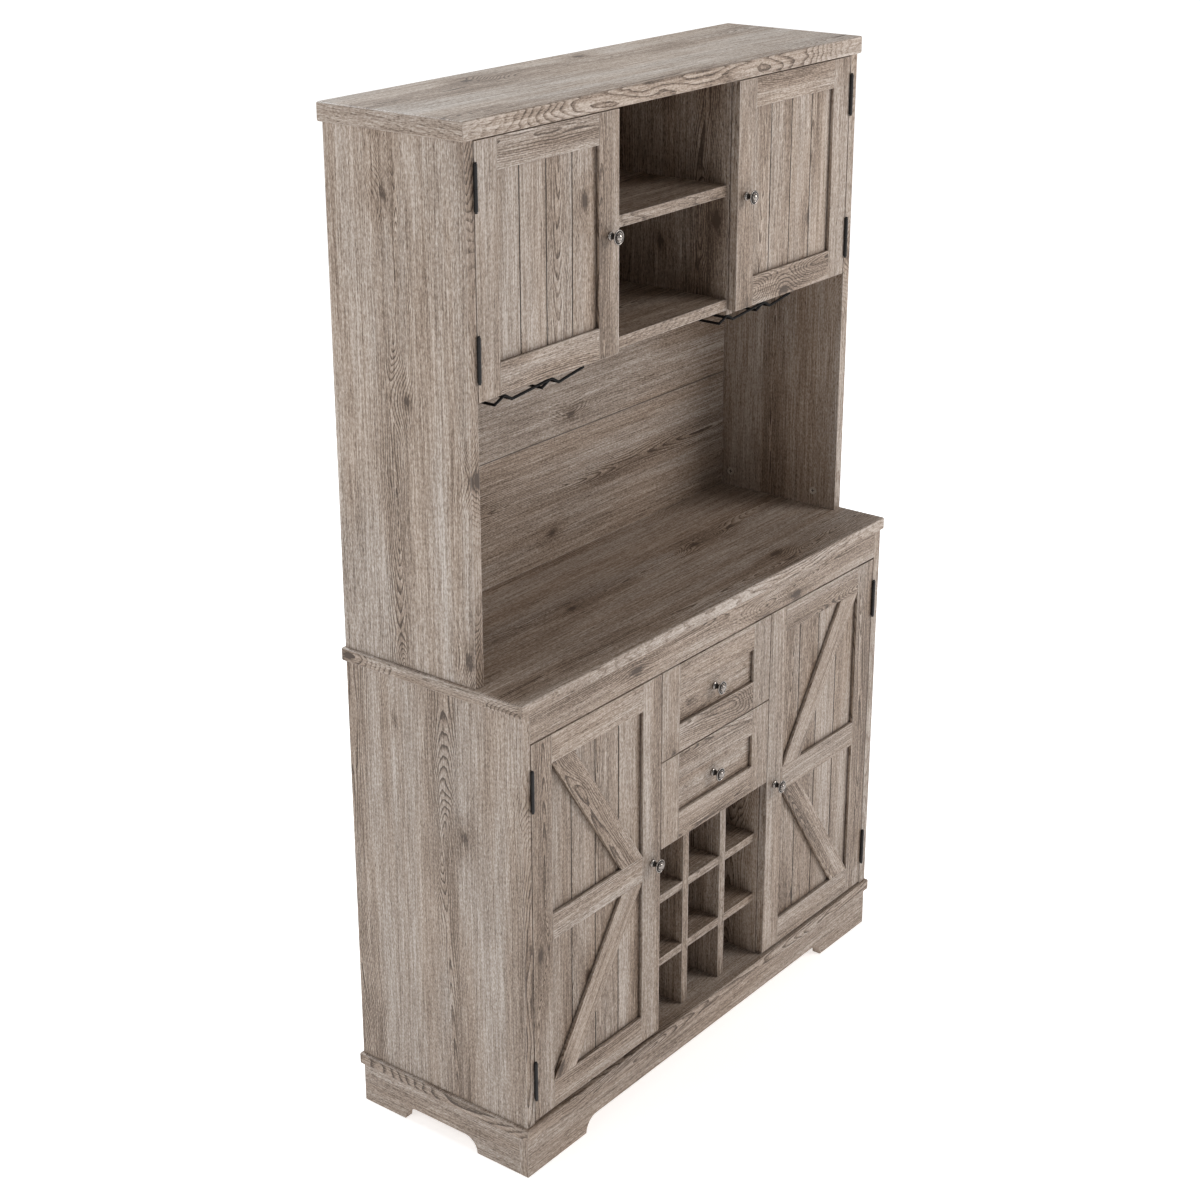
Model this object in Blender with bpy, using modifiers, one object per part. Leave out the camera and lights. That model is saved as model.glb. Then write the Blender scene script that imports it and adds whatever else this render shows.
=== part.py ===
"""Farmhouse coffee bar cabinet: a base with barn doors, two drawers and a wine rack, and a hutch on top.

Metres, with X to the right seen from the front, Y to the back and Z up.
The origin is the bottom centre of the whole object, knobs included.
"""

import math

import bmesh
import bpy
from mathutils import Matrix, Vector

# Clearances that the whole cabinet shares
SEAT_GAP = 0.0003
CUT_OVERRUN = 0.002
SLAB_ARRIS = 0.003
ARRIS_STEPS = 2
WELD_DISTANCE = 0.00002
SMOOTH_BELOW = math.radians(35)

# Carcass sizes
BODY_WIDTH = 1.092
BASE_DEPTH = 0.381
SIDE_THICKNESS = 0.020
PARTITION_THICKNESS = 0.018
CENTRE_BAY_WIDTH = 0.334
BACK_THICKNESS = 0.005
BACK_RECESS = 0.0154
BACK_OVERHANG = 0.0055

# Heights of the base, from the floor up
PLINTH_HEIGHT = 0.077
FLOOR_SLAB_THICKNESS = 0.022
BASE_SIDE_HEIGHT = 0.769
COUNTER_THICKNESS = 0.024
APRON_HEIGHT = 0.0525

# Plinth boards and their arches
PLINTH_THICKNESS = 0.018
ARCH_HEIGHT = 0.028
FRONT_FOOT_LENGTH = 0.163
SIDE_FOOT_LENGTH = 0.097
ARCH_STEPS = 6

# Slab overhangs beyond the side panels
FLOOR_SIDE_OVERHANG = 0.006
FLOOR_FRONT_OVERHANG = 0.0065
COUNTER_SIDE_OVERHANG = 0.006
COUNTER_FRONT_OVERHANG = 0.005
TOP_SIDE_OVERHANG = 0.0075
TOP_FRONT_OVERHANG = 0.0055

# Hutch
HUTCH_SETBACK = 0.094
HUTCH_SIDE_HEIGHT = 0.877
TOP_SLAB_THICKNESS = 0.031
NICHE_HEIGHT = 0.4727
HUTCH_SHELF_THICKNESS = 0.020
MIDDLE_SHELF_SETBACK = 0.004
DIVIDER_DROP = 0.009
BACK_SEAM_HEIGHT = 0.235

# Doors and drawer fronts
FRONT_THICKNESS = 0.016
FRONT_BACK_GAP = 0.0015
HINGE_SIDE_GAP = 0.0025
FRONT_GAP = 0.002
DRAWER_GAP = 0.0025
FRONT_LAP = 0.0023
PANEL_RECESS = 0.008
PANEL_REBATE = 0.008
LOWER_DOOR_BOTTOM_GAP = 0.0045
LOWER_DOOR_TOP_GAP = 0.003
UPPER_DOOR_TOP_GAP = 0.0025
STILE_WIDTH = 0.052
TOP_RAIL_WIDTH = 0.051
MIDDLE_RAIL_WIDTH = 0.049
BOTTOM_RAIL_WIDTH = 0.053
DRAWER_FRONT_HEIGHT = 0.1687
BRACE_RUN = 0.060
PLANK_PITCH = 0.065
GROOVE_WIDTH = 0.003
GROOVE_DEPTH = 0.003
GROOVES_PER_PANEL = 3

# Wine rack and the boards that carry the drawers
RACK_SETBACK = 0.0225
RACK_SHELF_THICKNESS = 0.016
RACK_UPRIGHT_THICKNESS = 0.018
RACK_ROWS = 3
RACK_COLUMNS = 3
DRAWER_BOARD_THICKNESS = 0.016

# Drawer boxes, which run on their boards between the partitions
DRAWER_SIDE_PLAY = 0.0015
DRAWER_WALL = 0.012
DRAWER_FLOOR = 0.005
DRAWER_BOX_HEIGHT = 0.140
DRAWER_BOX_DEPTH = 0.320

# Hinges
HINGE_LENGTH = 0.0775
BARREL_RADIUS = 0.003
BARREL_CLEARANCE = 0.0004
HINGE_PIN_RADIUS = 0.0013
HINGE_TIP = 0.003
HINGE_TIP_RADIUS = 0.0015
HINGE_TIP_SHOULDER = 0.001
LEAF_DEPTH = 0.013
UPPER_HINGE_INSET = 0.030
LOWER_HINGE_INSET = 0.043
HINGE_STEPS = 12

# Knobs, with lengths from the seat outwards
KNOB_INSET = 0.0245
KNOB_LENGTH = 0.023
KNOB_BASE_RADIUS = 0.007
KNOB_BASE_LENGTH = 0.002
KNOB_NECK_RADIUS = 0.0042
KNOB_NECK_START = 0.0045
KNOB_NECK_END = 0.0125
KNOB_FACE_RADIUS = 0.01275
KNOB_RIM_START = 0.0165
KNOB_RIM_END = 0.0185
KNOB_RING_RADIUS = 0.0105
KNOB_DOME_RADIUS = 0.0093
KNOB_GROOVE_DEPTH = 0.001
KNOB_DOME_POINTS = 4
KNOB_STEPS = 24

# Stemware racks of bent wire
WIRE_RADIUS = 0.002
SIDE_WIRE_RADIUS = 0.0018
RISER_RADIUS = 0.0016
WIRE_WELD = 0.0008
WIRE_STEPS = 2
STEM_DROP = 0.0367
STEM_FRONT_SETBACK = 0.053
STEM_BACK_MARGIN = 0.030
STEM_SLOT = 0.0435
STEM_PITCH = 0.1195
STEM_PEAK_RUN = 0.0245
STEM_PEAK_RISE = 0.0105
STEM_END_RUN = 0.065
STEM_PAD_RADIUS = 0.006
STEM_PAD_THICKNESS = 0.0015
STEM_PAD_STEPS = 12
LEFT_RACK_OFFSET = 0.013
RIGHT_RACK_OFFSET = 0.0107

# Heights worked out from the stack of slabs and panels
FLOOR_TOP = PLINTH_HEIGHT + FLOOR_SLAB_THICKNESS
COUNTER_BOTTOM = FLOOR_TOP + BASE_SIDE_HEIGHT
COUNTER_TOP = COUNTER_BOTTOM + COUNTER_THICKNESS
TOP_SLAB_BOTTOM = COUNTER_TOP + HUTCH_SIDE_HEIGHT
NICHE_TOP = COUNTER_TOP + NICHE_HEIGHT
LOWER_DOOR_BOTTOM = FLOOR_TOP + LOWER_DOOR_BOTTOM_GAP
LOWER_DOOR_TOP = COUNTER_BOTTOM - APRON_HEIGHT - LOWER_DOOR_TOP_GAP
UPPER_DOOR_BOTTOM = NICHE_TOP
UPPER_DOOR_TOP = TOP_SLAB_BOTTOM - UPPER_DOOR_TOP_GAP
UPPER_DRAWER_BOTTOM = LOWER_DOOR_TOP - DRAWER_FRONT_HEIGHT
LOWER_DRAWER_BOTTOM = UPPER_DRAWER_BOTTOM - DRAWER_GAP - DRAWER_FRONT_HEIGHT
RACK_TOP = LOWER_DRAWER_BOTTOM

# Widths, measured from the middle plane
SIDE_OUTER = BODY_WIDTH / 2
SIDE_INNER = SIDE_OUTER - SIDE_THICKNESS
BAY_HALF = CENTRE_BAY_WIDTH / 2
PARTITION_OUTER = BAY_HALF + PARTITION_THICKNESS
DOOR_INNER = BAY_HALF + FRONT_LAP
DOOR_OUTER = SIDE_INNER - HINGE_SIDE_GAP
DRAWER_FRONT_HALF = DOOR_INNER - FRONT_GAP
STEM_RACK_LENGTH = STEM_PITCH + STEM_SLOT + STEM_END_RUN

# Depths: the base fronts lie in the plane FACE, and the whole object is centred on Y = 0
KNOB_REACH = SEAT_GAP + KNOB_LENGTH
FACE = -(BASE_DEPTH + BACK_OVERHANG - KNOB_REACH) / 2
HUTCH_FACE = FACE + HUTCH_SETBACK
REAR = FACE + BASE_DEPTH
BACK_FACE = REAR - BACK_RECESS - BACK_THICKNESS
INNER_BACK = BACK_FACE - SEAT_GAP
FRONT_SETBACK = FRONT_THICKNESS + FRONT_BACK_GAP
OVERLAY = PANEL_RECESS - SEAT_GAP

# Colour, roughness and metallic value of each finish
FINISHES = {
    "oak": ((0.30, 0.255, 0.215, 1.0), 0.62, 0.0),
    "inside": ((0.20, 0.165, 0.14, 1.0), 0.7, 0.0),
    "nickel": ((0.42, 0.41, 0.40, 1.0), 0.3, 1.0),
    "iron": ((0.03, 0.03, 0.032, 1.0), 0.5, 0.6),
}

SIDES = (("left", -1), ("right", 1))


def new_collection(name):
    """Collection linked to the scene."""
    collection = bpy.data.collections.new(name)
    bpy.context.scene.collection.children.link(collection)
    return collection


def clear_scene():
    """Remove what the start-up scene holds."""
    for old in list(bpy.data.objects):
        bpy.data.objects.remove(old, do_unlink=True)


clear_scene()
PARTS = new_collection("coffee_bar_cabinet")
CUTTERS = new_collection("cutters")


def make_material(name, finish):
    """Principled material of one sub-part."""
    color, roughness, metallic = FINISHES[finish]
    material = bpy.data.materials.new(name)
    material.use_nodes = True
    shader = material.node_tree.nodes["Principled BSDF"]
    shader.inputs["Base Color"].default_value = color
    shader.inputs["Roughness"].default_value = roughness
    shader.inputs["Metallic"].default_value = metallic
    material.diffuse_color = color
    return material


def finish_mesh(bm, name):
    """Mesh from a bmesh, with its faces turned outwards."""
    bmesh.ops.recalc_face_normals(bm, faces=bm.faces)
    mesh = bpy.data.meshes.new(name)
    bm.to_mesh(mesh)
    bm.free()
    return mesh


def evaluated_mesh(obj, weld=True):
    """Mesh in world space that an object's modifiers or curve settings give; the object is removed."""
    bpy.context.view_layer.update()
    depsgraph = bpy.context.evaluated_depsgraph_get()
    mesh = bpy.data.meshes.new_from_object(obj.evaluated_get(depsgraph))
    mesh.transform(obj.matrix_world)
    bpy.data.objects.remove(obj, do_unlink=True)
    bm = bmesh.new()
    bm.from_mesh(mesh)
    if weld:
        bmesh.ops.remove_doubles(bm, verts=bm.verts, dist=WELD_DISTANCE)
    return finish_mesh(bm, mesh.name)


def box(low, high):
    """Block between two opposite corners."""
    low = Vector(low)
    high = Vector(high)
    bm = bmesh.new()
    placing = Matrix.Translation((low + high) / 2) @ Matrix.Diagonal((high - low).to_4d())
    bmesh.ops.create_cube(bm, size=1, matrix=placing)
    return finish_mesh(bm, "box")


def prism(outline, axis, low, high):
    """Flat outline given thickness along one axis.

    The outline's points are (x, y) for axis Z, (x, z) for axis Y and (y, z) for axis X.
    """
    curve = bpy.data.curves.new("outline", "CURVE")
    curve.dimensions = "2D"
    curve.fill_mode = "BOTH"
    curve.extrude = (high - low) / 2
    spline = curve.splines.new("POLY")
    spline.points.add(len(outline) - 1)
    for point, (across, along) in zip(spline.points, outline):
        point.co = (across, along, 0, 1)
    spline.use_cyclic_u = True
    obj = bpy.data.objects.new("outline", curve)
    PARTS.objects.link(obj)
    middle = (low + high) / 2
    turns = {
        "Z": Matrix.Identity(4),
        "Y": Matrix.Rotation(math.pi / 2, 4, "X"),
        "X": Matrix.Rotation(math.pi / 2, 4, "Z") @ Matrix.Rotation(math.pi / 2, 4, "X"),
    }
    shifts = {"Z": (0, 0, middle), "Y": (0, middle, 0), "X": (middle, 0, 0)}
    obj.matrix_world = Matrix.Translation(shifts[axis]) @ turns[axis]
    return evaluated_mesh(obj)


def turned(profile, steps, placing, closed=False):
    """Profile of (radius, height) points, listed from the top down, turned about the Z axis and placed."""
    bm = bmesh.new()
    points = [bm.verts.new((radius, 0, height)) for radius, height in profile]
    for start, end in zip(points, points[1:]):
        bm.edges.new((start, end))
    if closed:
        bm.edges.new((points[-1], points[0]))
    mesh = bpy.data.meshes.new("profile")
    bm.to_mesh(mesh)
    bm.free()
    obj = bpy.data.objects.new("turned", mesh)
    PARTS.objects.link(obj)
    screw = obj.modifiers.new("Screw", "SCREW")
    screw.steps = steps
    screw.render_steps = steps
    screw.use_merge_vertices = True
    screw.merge_threshold = WELD_DISTANCE
    obj.matrix_world = placing
    return evaluated_mesh(obj)


def wire(points, radius):
    """Round wire through the points."""
    curve = bpy.data.curves.new("wire", "CURVE")
    curve.dimensions = "3D"
    curve.bevel_depth = radius
    curve.bevel_resolution = WIRE_STEPS
    curve.twist_mode = "Z_UP"
    curve.use_fill_caps = True
    spline = curve.splines.new("POLY")
    spline.points.add(len(points) - 1)
    for point, place in zip(spline.points, points):
        point.co = (*place, 1)
    obj = bpy.data.objects.new("wire", curve)
    PARTS.objects.link(obj)
    return evaluated_mesh(obj)


def united(meshes):
    """Overlapping solids made into one."""
    base = bpy.data.objects.new("base", meshes[0])
    PARTS.objects.link(base)
    helpers = []
    for mesh in meshes[1:]:
        helper = bpy.data.objects.new("helper", mesh)
        CUTTERS.objects.link(helper)
        helpers.append(helper)
        union = base.modifiers.new("Union", "BOOLEAN")
        union.operation = "UNION"
        union.solver = "MANIFOLD"
        union.object = helper
    mesh = evaluated_mesh(base, weld=False)
    for helper in helpers:
        bpy.data.objects.remove(helper, do_unlink=True)
    return mesh


def node(name, finish, mesh, joint=None, smooth=False):
    """One sub-part with its origin at its centre, carried by its joint's empty if it moves."""
    corners = [vertex.co for vertex in mesh.vertices]
    low = Vector([min(corner[axis] for corner in corners) for axis in range(3)])
    high = Vector([max(corner[axis] for corner in corners) for axis in range(3)])
    centre = (low + high) / 2
    mesh.transform(Matrix.Translation(-centre))
    mesh.name = name
    if smooth:
        mesh.shade_smooth()
        mesh.set_sharp_from_angle(angle=SMOOTH_BELOW)
    obj = bpy.data.objects.new(name, mesh)
    obj.location = centre
    PARTS.objects.link(obj)
    mesh.materials.append(make_material(name, finish))
    if joint:
        obj.parent = joint
        obj.location = centre - joint.location
    return obj


def joint_empty(name, place):
    """Empty on a joint's axis."""
    empty = bpy.data.objects.new(name, None)
    empty.location = place
    empty.empty_display_size = HINGE_LENGTH
    PARTS.objects.link(empty)
    return empty


def cut(obj, cutter_meshes):
    """Subtract solids, given in the cabinet's coordinates, from a sub-part."""
    bm = bmesh.new()
    for mesh in cutter_meshes:
        bm.from_mesh(mesh)
    cutter = bpy.data.objects.new(f"{obj.name}_cutter", finish_mesh(bm, f"{obj.name}_cutter"))
    cutter.display_type = "WIRE"
    cutter.hide_render = True
    CUTTERS.objects.link(cutter)
    if obj.parent:
        cutter.parent = obj.parent
        cutter.location = -obj.parent.location
    difference = obj.modifiers.new("Cut", "BOOLEAN")
    difference.operation = "DIFFERENCE"
    difference.solver = "EXACT"
    difference.object = cutter


def soften(obj):
    """Round the arrises of a slab."""
    bevel = obj.modifiers.new("Arris", "BEVEL")
    bevel.width = SLAB_ARRIS
    bevel.segments = ARRIS_STEPS
    bevel.limit_method = "ANGLE"


def span(side, inner, outer):
    """Lower and upper X of a piece between two distances from the middle plane."""
    return (inner, outer) if side > 0 else (-outer, -inner)


def side_box(side, inner, outer, front, back, bottom, top):
    """Block on one side of the middle plane."""
    low, high = span(side, inner, outer)
    return box((low, front, bottom), (high, back, top))


def arch_outline(start, end):
    """Elevation of the low arch between two feet, from below the floor."""
    outline = [(start, -CUT_OVERRUN)]
    for step in range(ARCH_STEPS + 1):
        turn = step / ARCH_STEPS * math.pi / 2
        outline.append((start + ARCH_HEIGHT * (1 - math.cos(turn)), ARCH_HEIGHT * math.sin(turn)))
    for step in range(ARCH_STEPS + 1):
        turn = (1 - step / ARCH_STEPS) * math.pi / 2
        outline.append((end - ARCH_HEIGHT * (1 - math.cos(turn)), ARCH_HEIGHT * math.sin(turn)))
    return outline + [(end, -CUT_OVERRUN)]


def build_plinth():
    """Glued frame of four boards on arched feet, which raises the base off the floor."""
    inner_x = SIDE_OUTER - PLINTH_THICKNESS
    inner_front = FACE + PLINTH_THICKNESS
    inner_back = REAR - PLINTH_THICKNESS
    plinth = node("plinth_frame", "oak",
                  box((-SIDE_OUTER, FACE, 0), (SIDE_OUTER, REAR, PLINTH_HEIGHT - SEAT_GAP)))
    cut(plinth, [box((-inner_x, inner_front, -CUT_OVERRUN),
                     (inner_x, inner_back, PLINTH_HEIGHT + CUT_OVERRUN))])
    front_end = SIDE_OUTER - FRONT_FOOT_LENGTH
    front_arch = prism(arch_outline(-front_end, front_end), "Y",
                       FACE - CUT_OVERRUN, inner_front + CUT_OVERRUN)
    side_arch = prism(arch_outline(inner_front + SIDE_FOOT_LENGTH, REAR - SIDE_FOOT_LENGTH), "X",
                      -SIDE_OUTER - CUT_OVERRUN, SIDE_OUTER + CUT_OVERRUN)
    under_back_rail = box((-inner_x, inner_back - CUT_OVERRUN, -CUT_OVERRUN),
                          (inner_x, REAR + CUT_OVERRUN, ARCH_HEIGHT))
    cut(plinth, [front_arch, side_arch, under_back_rail])


def build_slabs():
    """Floor slab, countertop and top slab, all proud of the side panels."""
    stack = (
        ("floor_slab", FLOOR_SIDE_OVERHANG, FACE - FLOOR_FRONT_OVERHANG, PLINTH_HEIGHT, FLOOR_TOP),
        ("countertop", COUNTER_SIDE_OVERHANG, FACE - COUNTER_FRONT_OVERHANG, COUNTER_BOTTOM, COUNTER_TOP),
        ("top_slab", TOP_SIDE_OVERHANG, HUTCH_FACE - TOP_FRONT_OVERHANG,
         TOP_SLAB_BOTTOM, TOP_SLAB_BOTTOM + TOP_SLAB_THICKNESS),
    )
    for name, overhang, front, bottom, top in stack:
        reach = SIDE_OUTER + overhang
        soften(node(name, "oak", box((-reach, front, bottom), (reach, REAR + BACK_OVERHANG, top))))


def build_base_carcass():
    """Side panels, partitions, apron, back board and drawer boards of the base."""
    bottom = FLOOR_TOP + SEAT_GAP
    top = COUNTER_BOTTOM - SEAT_GAP
    for word, side in SIDES:
        node(f"base_side_{word}", "oak", side_box(side, SIDE_INNER, SIDE_OUTER, FACE, REAR, bottom, top))
        node(f"base_partition_{word}", "oak",
             side_box(side, BAY_HALF, PARTITION_OUTER, FACE + FRONT_SETBACK, INNER_BACK, bottom, top))
    reach = SIDE_INNER - SEAT_GAP
    node("counter_apron", "oak", box((-reach, FACE, COUNTER_BOTTOM - APRON_HEIGHT),
                                     (reach, FACE + FRONT_SETBACK - SEAT_GAP, top)))
    node("base_back", "inside", box((-reach, BACK_FACE, bottom), (reach, BACK_FACE + BACK_THICKNESS, top)))
    reach = BAY_HALF - SEAT_GAP
    for name, underside in (("drawer_deck", LOWER_DRAWER_BOTTOM), ("drawer_divider", UPPER_DRAWER_BOTTOM)):
        node(name, "oak", box((-reach, FACE + RACK_SETBACK, underside),
                              (reach, INNER_BACK, underside + DRAWER_BOARD_THICKNESS)))


def build_wine_rack():
    """Uprights and shelves halved into one another, three cells by three."""
    front = FACE + RACK_SETBACK
    bottom = FLOOR_TOP + SEAT_GAP
    top = RACK_TOP - SEAT_GAP
    reach = BAY_HALF - SEAT_GAP
    column = (CENTRE_BAY_WIDTH - (RACK_COLUMNS - 1) * RACK_UPRIGHT_THICKNESS) / RACK_COLUMNS
    row = (RACK_TOP - FLOOR_TOP - (RACK_ROWS - 1) * RACK_SHELF_THICKNESS) / RACK_ROWS
    boards = []
    for count in range(1, RACK_COLUMNS):
        left = -BAY_HALF + count * column + (count - 1) * RACK_UPRIGHT_THICKNESS
        boards.append(box((left, front, bottom), (left + RACK_UPRIGHT_THICKNESS, INNER_BACK, top)))
    for count in range(1, RACK_ROWS):
        underside = FLOOR_TOP + count * row + (count - 1) * RACK_SHELF_THICKNESS
        boards.append(box((-reach, front, underside), (reach, INNER_BACK, underside + RACK_SHELF_THICKNESS)))
    node("wine_rack", "oak", united(boards))


def build_hutch_carcass():
    """Side panels, dividers, fixed shelves and back boards of the hutch."""
    bottom = COUNTER_TOP + SEAT_GAP
    top = TOP_SLAB_BOTTOM - SEAT_GAP
    front = HUTCH_FACE + FRONT_SETBACK
    shelf_top = NICHE_TOP + HUTCH_SHELF_THICKNESS
    for word, side in SIDES:
        node(f"hutch_side_{word}", "oak",
             side_box(side, SIDE_INNER, SIDE_OUTER, HUTCH_FACE, REAR, bottom, top))
        node(f"hutch_divider_{word}", "oak",
             side_box(side, BAY_HALF, PARTITION_OUTER, front, INNER_BACK, NICHE_TOP - DIVIDER_DROP, top))
        node(f"cupboard_bottom_{word}", "oak",
             side_box(side, PARTITION_OUTER + SEAT_GAP, SIDE_INNER - SEAT_GAP,
                      front, INNER_BACK, NICHE_TOP, shelf_top))
    reach = BAY_HALF - SEAT_GAP
    node("hutch_lower_shelf", "oak", box((-reach, front, NICHE_TOP), (reach, INNER_BACK, shelf_top)))
    underside = (shelf_top + TOP_SLAB_BOTTOM - HUTCH_SHELF_THICKNESS) / 2
    node("hutch_middle_shelf", "oak", box((-reach, front + MIDDLE_SHELF_SETBACK, underside),
                                          (reach, INNER_BACK, underside + HUTCH_SHELF_THICKNESS)))
    reach = SIDE_INNER - SEAT_GAP
    seam = COUNTER_TOP + BACK_SEAM_HEIGHT
    rear = BACK_FACE + BACK_THICKNESS
    node("hutch_back_lower", "oak", box((-reach, BACK_FACE, bottom), (reach, rear, seam)))
    node("hutch_back_upper", "inside", box((-reach, BACK_FACE, seam + SEAT_GAP), (reach, rear, top)))


def hinge_axis(side, face, height):
    """Point on a door's hinge axis."""
    return Vector((side * (SIDE_INNER - HINGE_SIDE_GAP / 2),
                   face - BARREL_RADIUS - BARREL_CLEARANCE, height))


def hinge_leaf(axis, towards, face, half, tongue_front, tongue_low, tongue_high):
    """Leaf plate in the gap beside a door, and the tongue that joins it to its own barrel."""
    low_x, high_x = sorted((axis.x + towards * SEAT_GAP / 2,
                            axis.x + towards * (HINGE_SIDE_GAP / 2 - SEAT_GAP)))
    plate = box((low_x, face, axis.z - half), (high_x, face + LEAF_DEPTH, axis.z + half))
    tongue = box((low_x, tongue_front, tongue_low), (high_x, face + LEAF_DEPTH / 2, tongue_high))
    return [plate, tongue]


def hinge_frame_half(axis, side, face):
    """Leaf on the side panel with the lower barrel and the pin, whose ends show as two tips."""
    half = HINGE_LENGTH / 2 - HINGE_TIP
    cap = half + SEAT_GAP
    profile = [
        (0, half + HINGE_TIP),
        (HINGE_TIP_RADIUS, half + HINGE_TIP - SEAT_GAP),
        (BARREL_RADIUS, cap + HINGE_TIP_SHOULDER),
        (BARREL_RADIUS, cap),
        (HINGE_PIN_RADIUS, cap),
        (HINGE_PIN_RADIUS, 0),
        (BARREL_RADIUS, 0),
        (BARREL_RADIUS, -half),
        (HINGE_TIP_RADIUS, -half - HINGE_TIP + SEAT_GAP),
        (0, -half - HINGE_TIP),
    ]
    barrel = turned(profile, HINGE_STEPS, Matrix.Translation(axis))
    return united([barrel] + hinge_leaf(axis, side, face, half, axis.y, axis.z - half, axis.z - SEAT_GAP))


def hinge_door_half(axis, side, face):
    """Leaf on the door's edge with the upper barrel, which is bored for the pin."""
    half = HINGE_LENGTH / 2 - HINGE_TIP
    bore = HINGE_PIN_RADIUS + SEAT_GAP
    ring = [(bore, SEAT_GAP), (bore, half), (BARREL_RADIUS, half), (BARREL_RADIUS, SEAT_GAP)]
    barrel = turned(ring, HINGE_STEPS, Matrix.Translation(axis), closed=True)
    middle_of_wall = axis.y + (bore + BARREL_RADIUS) / 2
    return united([barrel] + hinge_leaf(axis, -side, face, half, middle_of_wall,
                                        axis.z + 2 * SEAT_GAP, axis.z + half))


def knob_profile():
    """Profile of a stepped knob with a domed face, from the dome's top down to the seat."""
    groove = KNOB_RIM_END - KNOB_GROOVE_DEPTH
    profile = [(0, KNOB_LENGTH)]
    for step in range(1, KNOB_DOME_POINTS + 1):
        turn = step / KNOB_DOME_POINTS * math.pi / 2
        profile.append((KNOB_DOME_RADIUS * math.sin(turn),
                        groove + (KNOB_LENGTH - groove) * math.cos(turn)))
    return profile + [
        (KNOB_RING_RADIUS, groove),
        (KNOB_RING_RADIUS, KNOB_RIM_END),
        (KNOB_FACE_RADIUS, KNOB_RIM_END),
        (KNOB_FACE_RADIUS, KNOB_RIM_START),
        (KNOB_NECK_RADIUS, KNOB_NECK_END),
        (KNOB_NECK_RADIUS, KNOB_NECK_START),
        (KNOB_BASE_RADIUS, KNOB_BASE_LENGTH),
        (KNOB_BASE_RADIUS, 0),
        (0, 0),
    ]


def build_knob(prefix, place, joint):
    """Knob seated on a front at the place, looking forwards."""
    placing = Matrix.Translation(place) @ Matrix.Rotation(math.pi / 2, 4, "X")
    node(f"{prefix}_knob", "nickel", turned(knob_profile(), KNOB_STEPS, placing), joint, smooth=True)


def middle_rail_edges(bottom, top):
    """Lower and upper edge of a door's middle rail."""
    middle = (bottom + top) / 2
    return middle - MIDDLE_RAIL_WIDTH / 2, middle + MIDDLE_RAIL_WIDTH / 2


def brace_windows(hinge_x, latch_x, corner_z, rail_z):
    """The two triangles beside a brace that runs from a hinge-side corner to the latch end of the rail."""
    run = math.copysign(BRACE_RUN, latch_x - hinge_x)
    hinge_side = [(hinge_x, corner_z), (hinge_x, rail_z), (latch_x - run, rail_z)]
    latch_side = [(hinge_x + run, corner_z), (latch_x, corner_z), (latch_x, rail_z)]
    return [hinge_side, latch_side]


def door_windows(side, low_x, high_x, bottom, top, barn):
    """Outlines of the openings in a door's face frame."""
    low_z = bottom + BOTTOM_RAIL_WIDTH
    high_z = top - TOP_RAIL_WIDTH
    if not barn:
        return [[(low_x, low_z), (high_x, low_z), (high_x, high_z), (low_x, high_z)]]
    rail_low, rail_high = middle_rail_edges(bottom, top)
    hinge_x, latch_x = (low_x, high_x) if side < 0 else (high_x, low_x)
    return (brace_windows(hinge_x, latch_x, high_z, rail_high)
            + brace_windows(hinge_x, latch_x, low_z, rail_low))


def panel_outline(low_x, high_x, front, back):
    """Plan of a panel whose face has V-grooves, so that it reads as upright planks."""
    middle = (low_x + high_x) / 2
    outline = [(low_x, front)]
    for count in range(GROOVES_PER_PANEL):
        place = middle + (count - (GROOVES_PER_PANEL - 1) / 2) * PLANK_PITCH
        outline += [(place - GROOVE_WIDTH / 2, front), (place, front + GROOVE_DEPTH),
                    (place + GROOVE_WIDTH / 2, front)]
    return outline + [(high_x, front), (high_x, back), (low_x, back)]


def build_door(prefix, side, face, bottom, top, hinge_inset, barn):
    """Face frame with its braces, the grooved panel in its rebate, the knob and two hinges."""
    joint = joint_empty(f"{prefix}_hinge_axis", hinge_axis(side, face, (bottom + top) / 2))
    low_x, high_x = span(side, DOOR_INNER, DOOR_OUTER)
    back = face + FRONT_THICKNESS
    frame = node(f"{prefix}_frame", "oak", box((low_x, face, bottom), (high_x, back, top)), joint)
    windows = door_windows(side, low_x + STILE_WIDTH, high_x - STILE_WIDTH, bottom, top, barn)
    cut(frame, [prism(window, "Y", face - CUT_OVERRUN, back + CUT_OVERRUN) for window in windows])
    rebate_low = Vector((low_x + STILE_WIDTH - PANEL_REBATE, face + OVERLAY,
                         bottom + BOTTOM_RAIL_WIDTH - PANEL_REBATE))
    rebate_high = Vector((high_x - STILE_WIDTH + PANEL_REBATE, back + CUT_OVERRUN,
                          top - TOP_RAIL_WIDTH + PANEL_REBATE))
    cut(frame, [box(rebate_low, rebate_high)])
    outline = panel_outline(rebate_low.x + SEAT_GAP, rebate_high.x - SEAT_GAP, face + PANEL_RECESS, back)
    panel = prism(outline, "Z", rebate_low.z + SEAT_GAP, rebate_high.z - SEAT_GAP)
    node(f"{prefix}_panel", "oak", panel, joint)
    build_knob(prefix, (side * (DOOR_INNER + KNOB_INSET), face - SEAT_GAP, (bottom + top) / 2), joint)
    reach = hinge_inset + HINGE_LENGTH / 2
    for level, middle in (("lower", bottom + reach), ("upper", top - reach)):
        axis = hinge_axis(side, face, middle)
        node(f"{prefix}_{level}_hinge_door_half", "iron", hinge_door_half(axis, side, face), joint,
             smooth=True)
        node(f"{prefix}_{level}_hinge_frame_half", "iron", hinge_frame_half(axis, side, face), smooth=True)


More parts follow.
